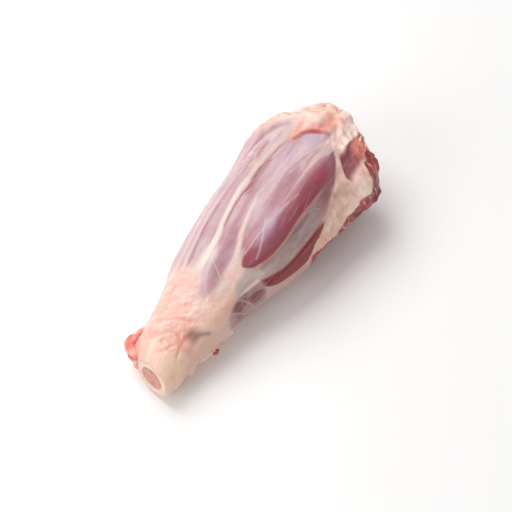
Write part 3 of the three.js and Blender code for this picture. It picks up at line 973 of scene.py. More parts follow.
# %% Net of fascia over dark patches near the ankle
paint = washes(
    paint,
    # the tan below the dark strip is partly painted shade
    (0.75, SHADED_SIDE_TAN, shaded_tan_side),
    (0.75, NET_GREY, net_ground),
    (0.85, PATCH, patches),
    (0.5, STREAK_PINK, trace(0.5, (54, 60), (60, 63), (64, 74), (67, 86), (69, 98))),
    (0.4, STREAK_PINK, trace(0.6, (50, 62), (53, 72), (58, 84), (64, 100))),
    (0.35, STREAK_PINK, trace(0.4, (60, 61), (67, 68), (74, 71), (78, 78))),
    (0.3, STREAK_PINK, trace(0.4, (64, 62), (61, 72), (62, 84))))

# %% Shaded edge of the fat, and the window in it
paint = washes(
    paint,
    (0.35, BAND_SHADE, trace(2.6, (164, 33), (156, 43), (149, 52), (141, 60)) * (1 - sheet)),
    (0.75, BAND_SHADE, blob(151, 57, 6, 3)),
    (0.6, BAND_SHADE, trace(1.4, (126, 63), (133, 61), (140, 57), (146, 52.5))),
    (0.7, STREAK, trace(0.8, (58, 58), (66, 60), (76, 62))),
    (0.9, WINDOW_RED, window),
    (0.7, CORAL, blob(176, 44, 5, 4) * ramp(window, 0.1, 0.6)),
    (0.5, PURPLE, trace(1.6, (160, 50), (167, 44), (173, 38)) * window),
    (0.35, MAUVE, window * ramp(VEILS, 0.5, 0.6)),
    # a purple line of painted shadow along the window's right edge, under the fat
    (0.55, PURPLE, trace(0.9, (157, 56), (166, 53.5), (175, 51))))

# %% Spot and smear, and the tones of the knuckle's fat
paint = washes(
    paint,
    (0.5, GREY_VEIL, trace(1.6, (30, 48), (33, 56), (37, 70))),
    (0.6, PURPLE, trace(1.3, (29.5, 48), (32, 54), (35, 62))),
    (0.45, GREY_VEIL, blob(48, 16, 5, 4)),
    (0.55, FAT_DEEP, blob(25, 26, 6, 8)),
    (0.25, FAT_WHITE, pale_bulge),
    (0.35, GREY_VEIL, blob(58, -4, 6, 5)),
    (0.5, FAT_ORANGE, creases),
    (0.3, FAT_ORANGE, collar_arcs),
    (0.7, PURPLE, purple_spot),
    (0.5, FAT_WHITE, blob(10, -18, 5, 6)),
    (0.7, SINEW_TAN, blob(9, 58, 8.5, 9, 0.7)),
    (0.5, FAT_DEEP, trace(1.6, (19, 40), (21, 55), (21, 75))),
    (0.45, FAT_DEEP, blob(46, 60, 9, 2.6)),
    (0.5, KNUCKLE_CREAM, blob(41, 44, 8, 4)),
    (0.5, FAT_WHITE, blob(42, 25, 5, 4)),
    (0.6, FAT_DEEP, blob(54, 59, 4, 2.4)),
    (0.5, CORAL, blob(7, -68, 5, 4.5)),
    (0.35, FAT_PINK, blob(15, -55, 6, 6)),
    (0.6, FAT_WHITE, edge_skin))

# %% Fold at the thick end
paint = washes(
    paint,
    (0.85, FAT_ORANGE, trace(2.2, (156, -17), (160, -18), (166, -20))),
    (0.8, MAUVE, bump(T, fold_edge + 3.4, 2.4) * bump(A, -1, 12)),
    # a thin red line at the fold's rolled edge: the red rim there, deepened as painted shadow
    # under the edge
    (0.95, FOLD_SHADOW_RED, bump(T, fold_edge + 0.2, 1.2) * bump(A, -1, 13)),
    (0.5, FAT_WHITE, blob(170, -25, 5, 4)),
    (0.5, FAT_WHITE, blob(179, -24, 5, 8)),
    (0.4, FAT_WHITE, blob(177, 20, 4, 3)),
    (0.5, FAT_ORANGE, blob(176, 4, 5, 8)),
    (0.6, FAT_ORANGE, blob(178, 44, 5, 5, 0.6)),
    (0.65, FAT_WHITE, trace(3.4, (167, 62), (160, 68), (152, 73), (144, 78)) * fat),
    (0.35, FAT_DEEP, trace(1.0, (156, 62), (150, 67), (142, 71), (132, 76)) * fat),
    (0.5, FAT_DEEP, blob(168, 60, 3, 3) * fat),
    (0.4, BAND_SHADE, blob(162, 29, 4, 3) * (1 - deep)),
    (0.5, FAT_ORANGE, trace(1.2, (158, -74), (159, -62), (162, -54))))

# %% Seams on the far side and underneath
paint = washes(
    paint,
    (0.8, STREAK_PINK, band(back_seam, 1.5, 2.4) * stretch(56, 160, 10)),
    (0.85, STREAK, band(under_seam, 1.8, 2.4) * stretch(56, 160, 10)),
    (0.7, STREAK_PINK, band(sole_seam, 1.6, 2.4) * stretch(60, 154, 10)),
    (0.7, STREAK_PINK, band(near_seam, 1.4, 2.4) * stretch(60, 104, 10)),
    (0.5, GREY_VEIL, bump(T, 34, 18) * bump(away_from(-84), 0, 5)))

# %% Mottling, web and crumbs of fascia
paint = paint * (1 + 0.14 * (FINE - 0.5) * (1 - 0.5 * fat))[..., None]
web = blob(136, -46, 10, 7, 0.8) * threads(ROUND / np.array([5, 4, 4]), 57, 0.05)
crumbs = blob(133, -47, 12, 4.0, 0.8) * ramp(layered(ROUND / 1.6, 2, 58), 0.56, 0.64)
paint = washes(
    paint,
    (0.7, STREAK, web),
    (0.8, VEIL_WHITE, crumbs))
tell(web=web, crumbs=crumbs)

# %% Raw flank
raw_tone = washes(
    plain(RAW_RED, skin),
    (1, RAW_DARK, ramp(MIDDLE, 0.45, 0.6)),
    (0.3, FAT_CREAM, threads(ROUND / np.array([12, 4, 4]), 51, 0.02)))
paint = wash(paint, flank, raw_tone)

# %% Collar round the sawn knuckle
left_of_collar = fade(T, 6, 18) * facing(-62, 66)
# painted light: the collar's -Y side is washed a lighter tan, as if lit there
painted_light_collar_side = fade(T, 10, 18) * facing(64, 24)
collar_light = fade(T, 9, 16) * facing(-6, 40)
collar_streaks = layered(np.stack([T / 22, A / 4.0, 0 * T], -1), 2, 33)
paint = washes(
    paint,
    (0.8, KNUCKLE_CREAM, bump(T, 1.5, 3.0)),
    (0.65, COLLAR_PINK, left_of_collar),
    (0.55, FAT_WHITE, collar_light * ramp(collar_streaks, 0.5, 0.66)),
    (0.3, FAT_PINK, collar_light * ramp(1 - collar_streaks, 0.5, 0.66)),
    # painted light on the collar's -Y side
    (0.7, PAINTED_LIGHT_TAN, painted_light_collar_side))
print("mean colour of the skin", paint.mean((0, 1)).round(3))

# %% [markdown]
# ## The cut face
# At the thick end the knife has gone across every muscle, so each shows as an oval that has
# swollen a little out of the cut. They press against each other, so the seams between them are
# thin. A rim of fat lies outside, and a little round the bone. Seven separate domes would leave
# gaps, so it is one grid between the skin's rim and the bone, and each place belongs to the oval
# whose middle it is nearest to, measured in that oval's own half sizes.

# %% Grid of the cut face
CUT_RINGS = 56
BORE_BITE = -0.1
OVAL_FULLNESS = 2.6
share_rows = (np.arange(CUT_RINGS) + 1) / (CUT_RINGS + 1)
# the share of the way from the skin's rim to the bone, and the angle, of every point
S, cut_angles = all_round(share_rows, COLUMN_ANGLES)
rim = skin[-1][None]
hole = bone_point(BONE_LENGTH - KNEE_BACK, cut_angles, BORE_BITE)
cut = rim + (hole - rim) * S[..., None]
CUT_PLACE = cut.copy()
CUT_WAVER = layered(CUT_PLACE / 5, 2, 61) - 0.5
GRIT = layered(CUT_PLACE / 1.3, 2, 67)
CLOTS = layered(CUT_PLACE / 4, 2, 71)
print("cut face grid", S.shape)


def oval(angle, share, wide, deep):
    """Distance from a muscle's middle, in its half sizes in mm round the bone and towards it."""
    column = np.argmin(np.abs(turned(COLUMN_ANGLES - angle)))
    inwards = (hole[0, column] - rim[0, column])[1:]
    middle = rim[0, column, 1:] + inwards * share
    inwards = inwards / np.linalg.norm(inwards)
    from_middle = CUT_PLACE[..., 1:] - middle
    towards = from_middle @ inwards
    around = from_middle @ np.array([-inwards[1], inwards[0]])
    n = OVAL_FULLNESS
    return (np.abs(towards / deep) ** n + np.abs(around / wide) ** n) ** (1 / n) + 0.2 * CUT_WAVER


# %% Muscles of the cut face
# three stacked ovals on the -Y side, a crescent over the bone, and two large ones on the far side
MUSCLE_ENDS = (
    (oval(54, 0.50, 8.0, 8.6), 3.2, tone(176, 76, 72)),
    (oval(94, 0.50, 8.2, 9.6), 2.8, tone(146, 62, 58)),
    (oval(134, 0.52, 8.6, 8.8), 3.0, tone(158, 66, 74)),
    (oval(6, 0.46, 11.5, 5.6), 2.0, tone(196, 78, 74)),
    (oval(-52, 0.48, 15.0, 8.4), 3.0, tone(150, 56, 60)),
    (oval(-113, 0.50, 13.5, 10.0), 3.0, tone(160, 68, 68)),
    (oval(177, 0.54, 9.0, 6.4), 2.0, tone(170, 70, 70)),
)
distances = np.stack([muscle[0] for muscle in MUSCLE_ENDS])
rises = np.array([muscle[1] for muscle in MUSCLE_ENDS])
end_tones = np.array([muscle[2] for muscle in MUSCLE_ENDS])
nearest_two = np.sort(distances, axis=0)[:2]
owner = distances.argmin(0)
apart = nearest_two[1] - nearest_two[0]
muscle_end = ramp(apart, 0.05, 0.13) * fade(nearest_two[0], 1.02, 1.12)
muscle_end = muscle_end * ramp(S, 0.05, 0.10) * fade(S, 0.93, 0.97)
print(len(MUSCLE_ENDS), f"muscles cover {muscle_end.mean():.0%} of the cut face")

# %% Colours of the cut face
near_edge = fade(np.minimum(apart * 0.9, 1.07 - nearest_two[0]), 0.05, 0.30)
cut_paint = washes(
    plain(tone(238, 202, 182), cut),
    (0.75, tone(214, 96, 84), ramp(CLOTS, 0.5, 0.6) * ramp(S, 0.1, 0.2)),
    (0.8, tone(176, 36, 38), ramp(CLOTS, 0.6, 0.7) * ramp(S, 0.1, 0.2)))
end_tone = end_tones[owner] * (1 + 0.5 * (GRIT[..., None] - 0.5) + 0.3 * CUT_WAVER[..., None])
end_tone = washes(
    end_tone,
    (0.45, tone(176, 134, 150), near_edge * ramp(CUT_WAVER, -0.15, 0.1)),
    (0.5, tone(214, 150, 140), ramp(GRIT, 0.66, 0.76)))
cut_paint = wash(cut_paint, muscle_end, end_tone)
star = (owner == 0) * bump(distances[0], 0, 0.42) * threads(CUT_PLACE / 4.5, 73, 0.035)
cut_paint = wash(cut_paint, 0.9 * star, tone(230, 196, 190))

# %% Rise of the cut face
swell = np.clip(1 - nearest_two[0] ** 3, 0, 1) ** 0.6 * ramp(apart, 0.0, 0.35)
cut_rise = rises[owner] * swell + 0.5 * (CLOTS - 0.5) + 0.25 * (GRIT - 0.5)
cut[..., 0] += cut_rise * ramp(S, 0, 0.1) * (1 - 0.8 * ramp(S, 0.92, 1))
print("cut face stands out by", round(float(cut_rise.max()), 1), "mm")

# %% Bore
BORE_ROWS = 12
bore_t = np.linspace(BONE_LENGTH - KNEE_BACK, LIP_BACK, BORE_ROWS)
bore_rows, bore_angles = all_round(bore_t, COLUMN_ANGLES)
bore = bone_point(bore_rows, bore_angles, BORE_BITE)
print("bore grid", bore.shape[:2])

# %% [markdown]
# ## From grids to meshes
# A grid of points becomes a mesh of four-cornered faces, closed round the bone and, for a ring
# shaped piece, closed along it too. A list of faces could be made one by one, but the corner
# numbers follow from row and column, so they are worked out at once and handed over whole.
# Colours and masks go on as attributes.


# %% Faces of a grid
def grid_faces(rows, columns, closed_rows):
    """Corner numbers of all faces; the last column joins the first, and rows too if closed."""
    i, j = np.meshgrid(np.arange(rows if closed_rows else rows - 1), np.arange(columns),
                       indexing="ij")
    i2, j2 = (i + 1) % rows, (j + 1) % columns
    return np.stack([i * columns + j, i * columns + j2, i2 * columns + j2, i2 * columns + j],
                    -1).reshape(-1, 4)


print("faces of a small grid:", grid_faces(2, 3, False).tolist())


# %% Mesh from a grid
def make_mesh(name, points, faces, material, fields=()):
    """A smooth shaded object at the origin; fields are (name, values) for colours and masks."""
    mesh = bpy.data.meshes.new(name)
    flat = np.ascontiguousarray(points.reshape(-1, 3)) * MM
    sides = faces.shape[1]
    mesh.vertices.add(len(flat))
    mesh.vertices.foreach_set("co", flat.ravel())
    mesh.loops.add(faces.size)
    mesh.loops.foreach_set("vertex_index", faces.ravel())
    mesh.polygons.add(len(faces))
    mesh.polygons.foreach_set("loop_start", np.arange(len(faces)) * sides)
    mesh.polygons.foreach_set("loop_total", np.full(len(faces), sides))
    mesh.update(calc_edges=True)
    mesh.validate()
    mesh.polygons.foreach_set("use_smooth", np.ones(len(faces), bool))
    for field, values in fields:
        if values.shape[-1] == 3 and field != "grain":
            rgba = np.concatenate([values.reshape(-1, 3), np.ones((len(flat), 1))], 1)
            layer = mesh.attributes.new(field, "FLOAT_COLOR", "POINT")
            layer.data.foreach_set("color", np.clip(rgba, 0, 1).ravel())
        else:
            layer = mesh.attributes.new(field, "FLOAT_VECTOR", "POINT")
            layer.data.foreach_set("vector", values.reshape(-1, 3).ravel())
    mesh.materials.append(material)
    piece = bpy.data.objects.new(name, mesh)
    bpy.context.scene.collection.objects.link(piece)
    return piece


# %% Closed ends
def close_ends(piece):
    """Merges the rings that have shrunk to a point, and turns all faces outwards."""
    work = bmesh.new()
    work.from_mesh(piece.data)
    bmesh.ops.remove_doubles(work, verts=work.verts, dist=2e-6)
    bmesh.ops.recalc_face_normals(work, faces=work.faces)
    work.to_mesh(piece.data)
    work.free()


# %% [markdown]
# ## Finish of the meat
# Raw meat is wet and slightly see-through. With a plain glossy paint it would look like plastic.
# So the shader scatters light under the surface, has a thin clear coat for the wet gloss, and the
# fibres are a noise stretched along the grain.

# %% Meat material
FIBRE_STRETCH, HAIR_STRETCH = (0.05, 1.3, 1.3), (0.035, 0.8, 0.8)
FAT_GRAIN, BLUSH_SCALE = 900.0, 160.0


def make_meat_material():
    """Painted colour, stretched fibre noise on muscle, grainy fat, a wet coat."""
    material, tree, shader = new_material("wet_raw_meat")
    colour, grain = field_value(tree, "paint"), field_value(tree, "grain", "Vector")
    split = add_node(tree, "ShaderNodeSeparateColor", {}, {"Color": field_value(tree, "masks")})
    is_fat, is_muscle, is_raw = split.outputs
    place = object_place(tree)
    fibre = noise_value(tree, scaled_vector(tree, grain, FIBRE_STRETCH), 1.0, 4.0, 0.6)
    hair = noise_value(tree, scaled_vector(tree, grain, HAIR_STRETCH), 1.0, 2.0, 0.5)
    grainy = noise_value(tree, place, FAT_GRAIN, 3.0, 0.6)
    soft = noise_value(tree, place, BLUSH_SCALE)
    dark = mixed(tree, 1.0, colour, (0.72, 0.6, 0.62, 1), "MULTIPLY")
    shade = mixed(tree, times(tree, is_muscle, ranged(tree, fibre, 0.62, 0.36, 0.0, 0.3)),
                  colour, dark)
    for share, spot in (
            (times(tree, times(tree, is_muscle, ranged(tree, hair, 0.60, 0.68)), 0.14),
             (0.80, 0.66, 0.64, 1)),
            (times(tree, is_fat, ranged(tree, soft, 0.5, 0.72, 0.0, 0.35)),
             (0.82, 0.40, 0.33, 1)),
            (times(tree, is_raw, ranged(tree, soft, 0.45, 0.65, 0.0, 0.6)),
             (0.36, 0.05, 0.05, 1))):
        shade = mixed(tree, share, shade, spot)
    rough = plus(tree, ranged(tree, soft, 0.3, 0.7, 0.3, 0.46), times(tree, is_fat, 0.06))
    height = plus(tree, times(tree, fibre, plus(tree, times(tree, is_muscle, 0.5), 0.1)),
                  times(tree, grainy, plus(tree, times(tree, is_fat, 0.5), 0.2)))
    feed(tree, shader, {
        "Base Color": shade, "Roughness": rough, "Normal": bumped(tree, height, 0.35, 0.6 * MM),
        "Subsurface Weight": 0.2, "Subsurface Radius": (1.0, 0.4, 0.3),
        "Subsurface Scale": 3 * MM, "Specular IOR Level": 0.3,
        "Coat Weight": plus(tree, times(tree, is_fat, 0.1), 0.08), "Coat Roughness": 0.2})
    return material


# %% Meat mesh
skin_masks = np.stack([fat, np.clip(1 - fat - flank, 0, 1), flank], -1)
cut_masks = np.stack([1 - muscle_end, 0 * muscle_end, 0.4 * muscle_end], -1)
bore_masks = np.zeros(bore.shape)
meat_points = np.concatenate([skin, cut, bore])
meat_paint = np.concatenate([paint, cut_paint, plain(FAT_CREAM, bore)])
meat_masks = np.concatenate([skin_masks, cut_masks, bore_masks])
meat_grain = np.concatenate([GRAIN, CUT_PLACE, bore])
meat_material = make_meat_material()
meat = make_mesh("meat_flesh", meat_points, grid_faces(len(meat_points), COLUMNS, True),
                 meat_material, (("paint", meat_paint), ("masks", meat_masks),
                                 ("grain", meat_grain)))
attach(meat, BODY)
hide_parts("meat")
print("meat faces", len(meat.data.polygons))

# %% [markdown]
# ## The bone
# The shin bone is a tube of hard bone. The saw leaves a flat, slightly rough ring at each end. A
# cylinder with a hole drilled through it would be perfectly round. So four grids make one ring
# shaped mesh: the outside, the sawn ring, the inside and the other sawn ring.

# %% Bone mesh
BONE_SIDES = 128
bone_angles = np.linspace(-180, 180, BONE_SIDES, endpoint=False)
outer_t = np.concatenate([[0.0, 0.25, 0.7], np.linspace(1.5, BONE_LENGTH - 1.5, 60),
                          [BONE_LENGTH - 0.7, BONE_LENGTH - 0.25, BONE_LENGTH]])


def sawn_ring(at, outwards):
    """The sawn end: rings from the outer edge to the inner one, a hair rougher than flat."""
    share, angle = all_round(np.linspace(0.0, 1.0, 12)[1:-1], bone_angles)
    ring = bone_point(np.full(share.shape, at), angle, -bone_wall(at) * share)
    saw_marks = 0.12 * (layered(ring * np.array([1, 2.2, 0.5]), 2, 81) - 0.5)
    ring[..., 0] += outwards * saw_marks
    return ring


# the outer edges are rounded off a little, and the inner face is a plain tube
round_off = 0.35 * np.concatenate([[1.0, 0.35, 0.05], np.zeros(60), [0.05, 0.35, 1.0]])
outer = bone_point(*all_round(outer_t, bone_angles), -round_off[:, None])
inner_t, inner_angle = all_round(np.linspace(BONE_LENGTH, 0.0, 20), bone_angles)
inner = bone_point(inner_t, inner_angle, -bone_wall(inner_t))
bone_points = np.concatenate([outer, sawn_ring(BONE_LENGTH, 1), inner, sawn_ring(0.0, -1)[::-1]])
print("bone grid", bone_points.shape[:2])

# %% Tones of the bone
BONE_CREAM, BONE_PINK, BONE_WHITE = tone(230, 198, 176), tone(218, 158, 142), tone(238, 216, 198)
bone_patch = layered(bone_points / 4, 3, 83)
bone_paint = washes(
    plain(BONE_CREAM, bone_points),
    (0.6, BONE_WHITE, ramp(bone_patch, 0.45, 0.65)),
    (0.4, BONE_PINK, ramp(1 - bone_patch, 0.5, 0.7)))


# %% Bone material
def make_bone_material():
    """Painted cream with fine pores, and a damp gloss."""
    material, tree, shader = new_material("damp_sawn_bone")
    place = object_place(tree)
    pores = noise_value(tree, place, 1500.0, 2.0, 0.5)
    clouds = noise_value(tree, place, 260.0)
    shade = mixed(tree, ranged(tree, pores, 0.62, 0.72, 0.0, 0.4), field_value(tree, "paint"),
                  (0.60, 0.30, 0.22, 1))
    shade = mixed(tree, ranged(tree, clouds, 0.5, 0.7, 0.0, 0.3), shade, (0.88, 0.74, 0.60, 1))
    feed(tree, shader, {
        "Base Color": shade, "Roughness": ranged(tree, clouds, 0.3, 0.7, 0.34, 0.5),
        "Normal": bumped(tree, pores, 0.3, 0.3 * MM),
        "Subsurface Weight": 0.15, "Subsurface Radius": (1.0, 0.6, 0.4),
        "Subsurface Scale": 2 * MM, "Coat Weight": 0.2, "Coat Roughness": 0.25})
    return material


bone = make_mesh("shin_bone", bone_points, grid_faces(len(bone_points), BONE_SIDES, True),
                 make_bone_material(), (("paint", bone_paint),))
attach(bone, BODY)
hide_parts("bone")
print("bone faces", len(bone.data.polygons))

# %% [markdown]
# ## The marrow
# The marrow fills the tube, and at each sawn end it swells out a little in soft cells. A disc at
# each end would look the same from outside. But the marrow is one of the three solids, so here
# too it is one closed rod, with a domed cap at either end.

# %% Marrow mesh
MARROW_SIDES = 96
MARROW_BACK = 0.3
marrow_angles = np.linspace(-180, 180, MARROW_SIDES, endpoint=False)


def marrow_cap(at, sign):
    """A domed end: rings from the rim to a tiny ring in the middle, swollen and pitted."""
    radius, angle = all_round(np.linspace(1.0, 0.0, 26), marrow_angles)
    edge = bone_point(np.full(angle.shape, at), angle, -bone_wall(at) - BORE_BITE)
    middle = edge.mean(1, keepdims=True)
    cap = middle + (edge - middle) * radius[..., None]
    cap[..., 0] += sign * 0.5 * (1 - radius ** 2)
    cap[..., 0] += sign * 0.9 * (layered(cap / 1.6, 2, 91) - 0.5) * ramp(1 - radius, 0, 0.2)
    return cap


near_end, far_end = MARROW_BACK, BONE_LENGTH - MARROW_BACK
marrow_t, marrow_turn = all_round(np.linspace(near_end, far_end, 24)[1:-1], marrow_angles)
marrow_side = bone_point(marrow_t, marrow_turn, -bone_wall(marrow_t) - BORE_BITE)
marrow_points = np.concatenate([marrow_cap(near_end, -1)[::-1], marrow_side,
                                marrow_cap(far_end, 1)])
print("marrow grid", marrow_points.shape[:2])

# %% Tones of the marrow
MARROW_PINK, MARROW_RED, MARROW_PALE = tone(204, 138, 126), tone(186, 104, 94), tone(216, 166, 152)
marrow_cells = layered(marrow_points / 1.8, 2, 93)
marrow_paint = washes(
    plain(MARROW_PINK, marrow_points),
    (0.4, MARROW_PALE, ramp(marrow_cells, 0.5, 0.66)),
    (0.4, MARROW_RED, ramp(1 - marrow_cells, 0.56, 0.7)))


# %% Marrow material
def make_marrow_material():
    """Painted pink with small red cells, soft and wet."""
    material, tree, shader = new_material("damp_marrow")
    cells = noise_value(tree, object_place(tree), 1100.0, 3.0, 0.6)
    shade = mixed(tree, ranged(tree, cells, 0.52, 0.66, 0.0, 0.25), field_value(tree, "paint"),
                  (0.62, 0.20, 0.17, 1))
    feed(tree, shader, {
        "Base Color": shade, "Roughness": ranged(tree, cells, 0.3, 0.7, 0.32, 0.48),
        "Normal": bumped(tree, cells, 0.5, 0.5 * MM),
        "Subsurface Weight": 0.25, "Subsurface Radius": (1.0, 0.4, 0.3),
        "Subsurface Scale": 2 * MM, "Coat Weight": 0.3, "Coat Roughness": 0.2})
    return material


marrow_faces = grid_faces(len(marrow_points), MARROW_SIDES, False)
marrow = make_mesh("marrow_core", marrow_points, marrow_faces, make_marrow_material(),
                   (("paint", marrow_paint),))
close_ends(marrow)
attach(marrow, BODY)
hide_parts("marrow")
print("marrow faces", len(marrow.data.polygons))

# %% [markdown]
# ## Loose bits
# A knife and a saw never leave a leg tidy. There is a fleshy flap beside the sawn knuckle, a
# small red nub on the ankle's other side, shreds along the trimmed edges, and hairs of fascia
# that lie on the silverskin. Scattered particles would be lost when the part is exported. So each
# is a small tube of rings set on the skin, and all bits of a kind are one mesh. The lobes close to
# a point at both ends and the shreds at their tip, while a shred's root is open inside the meat
# and a hair's ends are open rings too small to see.


# %% Places on the skin
def on_skin(t, angle, lift=0.0):
    """Points of the finished skin at t and angle, between its rows and columns, and lifted."""
    order = np.argsort(COLUMN_ANGLES)
    sorted_angles = COLUMN_ANGLES[order]
    angles = np.concatenate([sorted_angles - 360, sorted_angles, sorted_angles + 360])
    column = np.interp(turned(np.asarray(angle, float)), angles, np.arange(len(angles)))
    row = np.clip((np.asarray(t, float) - LIP_BACK) / (BONE_LENGTH - LIP_BACK), 0, 1)
    row = row * (SKIN_ROWS - 1)
    i, j = np.floor(row).astype(int), np.floor(column).astype(int)
    i = np.minimum(i, SKIN_ROWS - 2)
    u, v = (row - i)[..., None], (column - j)[..., None]
    j0, j1 = order[j % COLUMNS], order[(j + 1) % COLUMNS]
    near = skin[i, j0] * (1 - v) + skin[i, j1] * v
    far = skin[i + 1, j0] * (1 - v) + skin[i + 1, j1] * v
    side, up = side_and_up(angle)
    outwards = np.stack([0 * side, -side, up], -1)
    return near * (1 - u) + far * u + outwards * np.asarray(lift)[..., None]


print("top of the skin at the middle", on_skin(93.0, 0.0, 0.0).round(1))


# %% Tubes along a path
TUBE_UP = np.array([0.13, 0.3, 0.94])


def tube(centres, radii, sides=8, squash=1.0):
    """Rings round a path: each ring stands across the path, with a radius of its own."""
    along = np.gradient(centres, axis=0)
    along /= np.linalg.norm(along, axis=1, keepdims=True)
    up = np.cross(along, TUBE_UP)
    up /= np.linalg.norm(up, axis=1, keepdims=True)
    side = np.cross(along, up)
    turn = np.linspace(0, 2 * np.pi, sides, endpoint=False)
    ring = (up[:, None] * np.cos(turn)[None, :, None]
            + squash * side[:, None] * np.sin(turn)[None, :, None])
    return centres[:, None] + ring * radii[:, None, None]


# %% Bits of one kind as one mesh
def join(shapes):
    """Several grids of rings as one list of points and faces."""
    points, faces, start = [], [], 0
    for shape in shapes:
        count, sides = shape.shape[:2]
        points.append(shape.reshape(-1, 3))
        faces.append(grid_faces(count, sides, False) + start)
        start += count * sides
    return np.concatenate(points), np.concatenate(faces)


def make_bits(name, shapes, colour_of, masks_of):
    """All bits of one kind as one mesh with the meat's material, riding with the meat."""
    points, faces = join(shapes)
    masks = np.zeros(points.shape) + np.array(masks_of)
    piece = make_mesh(name, points, faces, meat_material,
                      (("paint", colour_of(points)), ("masks", masks), ("grain", points)))
    close_ends(piece)
    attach(piece, BODY)
    print(name, len(piece.data.polygons), "faces")


# %% Fleshy lobes
# the radius of the tiny rings that close a tube
TINY = 1e-4


def fleshy(places, radius, seed, squash=0.7, rough=0.7, rows=36, sides=28):
    """A soft lobe through (t, angle, lift) places: a tube, thick in the middle, a little lumpy."""
    u = np.linspace(0, 1, rows)
    share = u * (len(places) - 1)
    t, angle, lift = (path(share, *enumerate(v)) for v in zip(*places))
    centres = on_skin(t, angle, lift)
    radii = radius * np.sqrt(np.clip(1 - (2 * u - 1) ** 2, 0, 1))
    lobe = tube(centres, np.maximum(radii, TINY), sides, squash)
    push = rough * (layered(lobe / 3.6, 3, seed) - 0.5)
    away = lobe - centres[:, None]
    return lobe + away * push[..., None]


def flap_colour(points):
    """Coral, paler and deeper in patches of noise."""
    shade = layered(points / 3.2, 3, 101)
    return washes(
        plain(tone(234, 148, 134), points),
        (1, tone(242, 184, 170), ramp(shade, 0.5, 0.66)),
        (1, tone(224, 118, 104), ramp(1 - shade, 0.54, 0.68)))


# %% Flap and nub
make_bits("knuckle_flap", [
    fleshy([(13, -84, 0.0), (16, -76, 0.8), (20, -66, 0.0)], 2.6, 201),
    fleshy([(3, -88, 0.8), (9, -84, 2.2), (15, -78, 0.8)], 4.3, 203, 0.75, 0.5),
    fleshy([(2, -104, 0.6), (7, -98, 2.4), (12, -90, 0.6)], 3.6, 205),
    fleshy([(0.9, -114, 0.4), (3, -108, 1.2), (6, -102, 0.4)], 2.0, 206),
], flap_colour, (0.2, 0.0, 0.0))

nub = fleshy([(34, 110, 0.8), (36, 111, 1.9), (38.5, 112, 1.2)], 1.8, 207, 0.9, 0.7, 16, 14)
make_bits("red_nub", [nub], lambda points: plain(tone(190, 92, 80), points), (0.2, 0.0, 0.6))


# %% Shreds along the edges
def shred(t, angle, length, radius, along, around, seed):
    """A tapering thread of fat: it leaves the skin, leans over and ends in a point."""
    u = np.linspace(0, 1, 14)
    wave = 0.15 * length * (layered(np.stack([u * 3 + seed, 0 * u, 0 * u], -1), 2, seed) - 0.5)
    lift = -0.6 + length * u * (1 - 0.35 * u)
    centres = on_skin(t + along * u * length, angle + around * u, lift)
    radii = radius * (1 - u) ** 0.7 + TINY
    return tube(centres + np.stack([wave, 0 * u, wave], -1), radii, 7, 0.6)


def shred_colour(points):
    """Cream fat with pink in patches of noise."""
    shade = layered(points / 2.0, 2, 103)
    return wash(plain(tone(244, 208, 188), points), ramp(shade, 0.45, 0.65), tone(224, 128, 112))


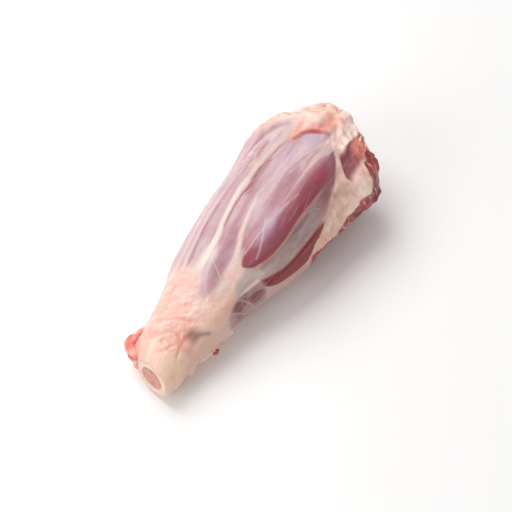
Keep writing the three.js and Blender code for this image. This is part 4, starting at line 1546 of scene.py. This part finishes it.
# each: t, angle, length, radius, lean along the bone, lean round it in degrees
SHRED_PLACES = (
    (179, 49, 7.0, 1.0, 0.25, -7), (184, -4, 4.6, 1.1, 0.2, 6),
    (181, 42, 3.6, 1.2, 0.4, -4), (182, 30, 3.0, 0.9, 0.5, 8),
    (183, 6, 2.6, 0.9, 0.4, -6), (176, 60, 3.0, 0.8, 0.2, 6), (168, 74, 3.2, 0.8, -0.2, 8),
    (158, 79, 2.6, 0.7, 0.3, 6), (146, 84, 2.6, 0.7, -0.4, 8), (133, 90, 2.8, 0.7, 0.3, 7),
    (120, 92, 2.4, 0.6, -0.3, 9), (183, -24, 2.4, 0.9, 0.4, 8), (180, -56, 2.4, 0.8, 0.4, -8),
    (2.2, 64, 1.6, 0.5, -0.3, 8), (2.0, -40, 1.4, 0.5, -0.4, 8), (26, 108, 2.0, 0.7, 0.3, 4),
    (31, 106, 1.8, 0.6, -0.3, 4), (44, 104, 2.0, 0.7, -0.3, 5), (52, 103, 1.8, 0.5, 0.3, 6),
    (162, 77, 2.2, 0.8, 0.2, 5), (152, 81, 2.0, 0.7, -0.2, 5), (140, 87, 2.0, 0.7, 0.3, 5))
make_bits("edge_shreds", [shred(*place, k + 1) for k, place in enumerate(SHRED_PLACES)],
          shred_colour, (0.8, 0.0, 0.1))


# %% Hairs of fascia
def hair(radius, *places):
    """A thin thread that lies on the skin along a smooth curve through (t, angle) places."""
    t, angle = smooth_places(places, 12)
    u = np.linspace(0, 1, len(t))
    thin = np.sin(np.pi * np.clip(u, 0.002, 0.998)) ** 0.5
    return tube(on_skin(t, angle, 0.0), radius * thin + 0.1 * TINY, 5)


drawn_hairs = [
    hair(0.17, (80, 40), (90, 31), (96, 25.5), (104, 19)),
    hair(0.14, (80, 27), (90, 25), (102, 25), (114, 26), (124, 28)),
    hair(0.16, (112, 25), (122, 23), (134, 21), (146, 19)),
    hair(0.14, (112, -3), (122, -1), (132, 4), (144, 8)),
    hair(0.14, (60, 28), (64, 12), (68, -2)),
    hair(0.16, (60, -36), (74, -41), (90, -46), (104, -46), (118, -49), (132, -50)),
    hair(0.14, (84, -55), (100, -56), (124, -60), (140, -60)),
    hair(0.14, (112, -46), (124, -49), (138, -48), (150, -44)),
    hair(0.15, (104, -20), (112, -14), (120, -6), (126, 4)),
    hair(0.14, (118, 46), (127, 50), (131, 55)),
]

# %% Short hairs strewn on the side that shows
STREWN = 16
rng = np.random.default_rng(11)
start_t, start_angle = rng.uniform(58, 140, STREWN), rng.uniform(-72, 62, STREWN)
length, drift = rng.uniform(6, 20, STREWN), -0.2 + rng.uniform(-0.3, 0.3, STREWN)
strewn_hairs = [hair(0.07, (t, a), (t + n / 3, a + 0.3 * d * n + 0.8), (t + n, a + d * n))
                for t, a, n, d in zip(start_t, start_angle, length, drift)]
make_bits("fascia_hairs", drawn_hairs + strewn_hairs,
          lambda points: plain(tone(226, 202, 200), points), (0.5, 0.2, 0.0))
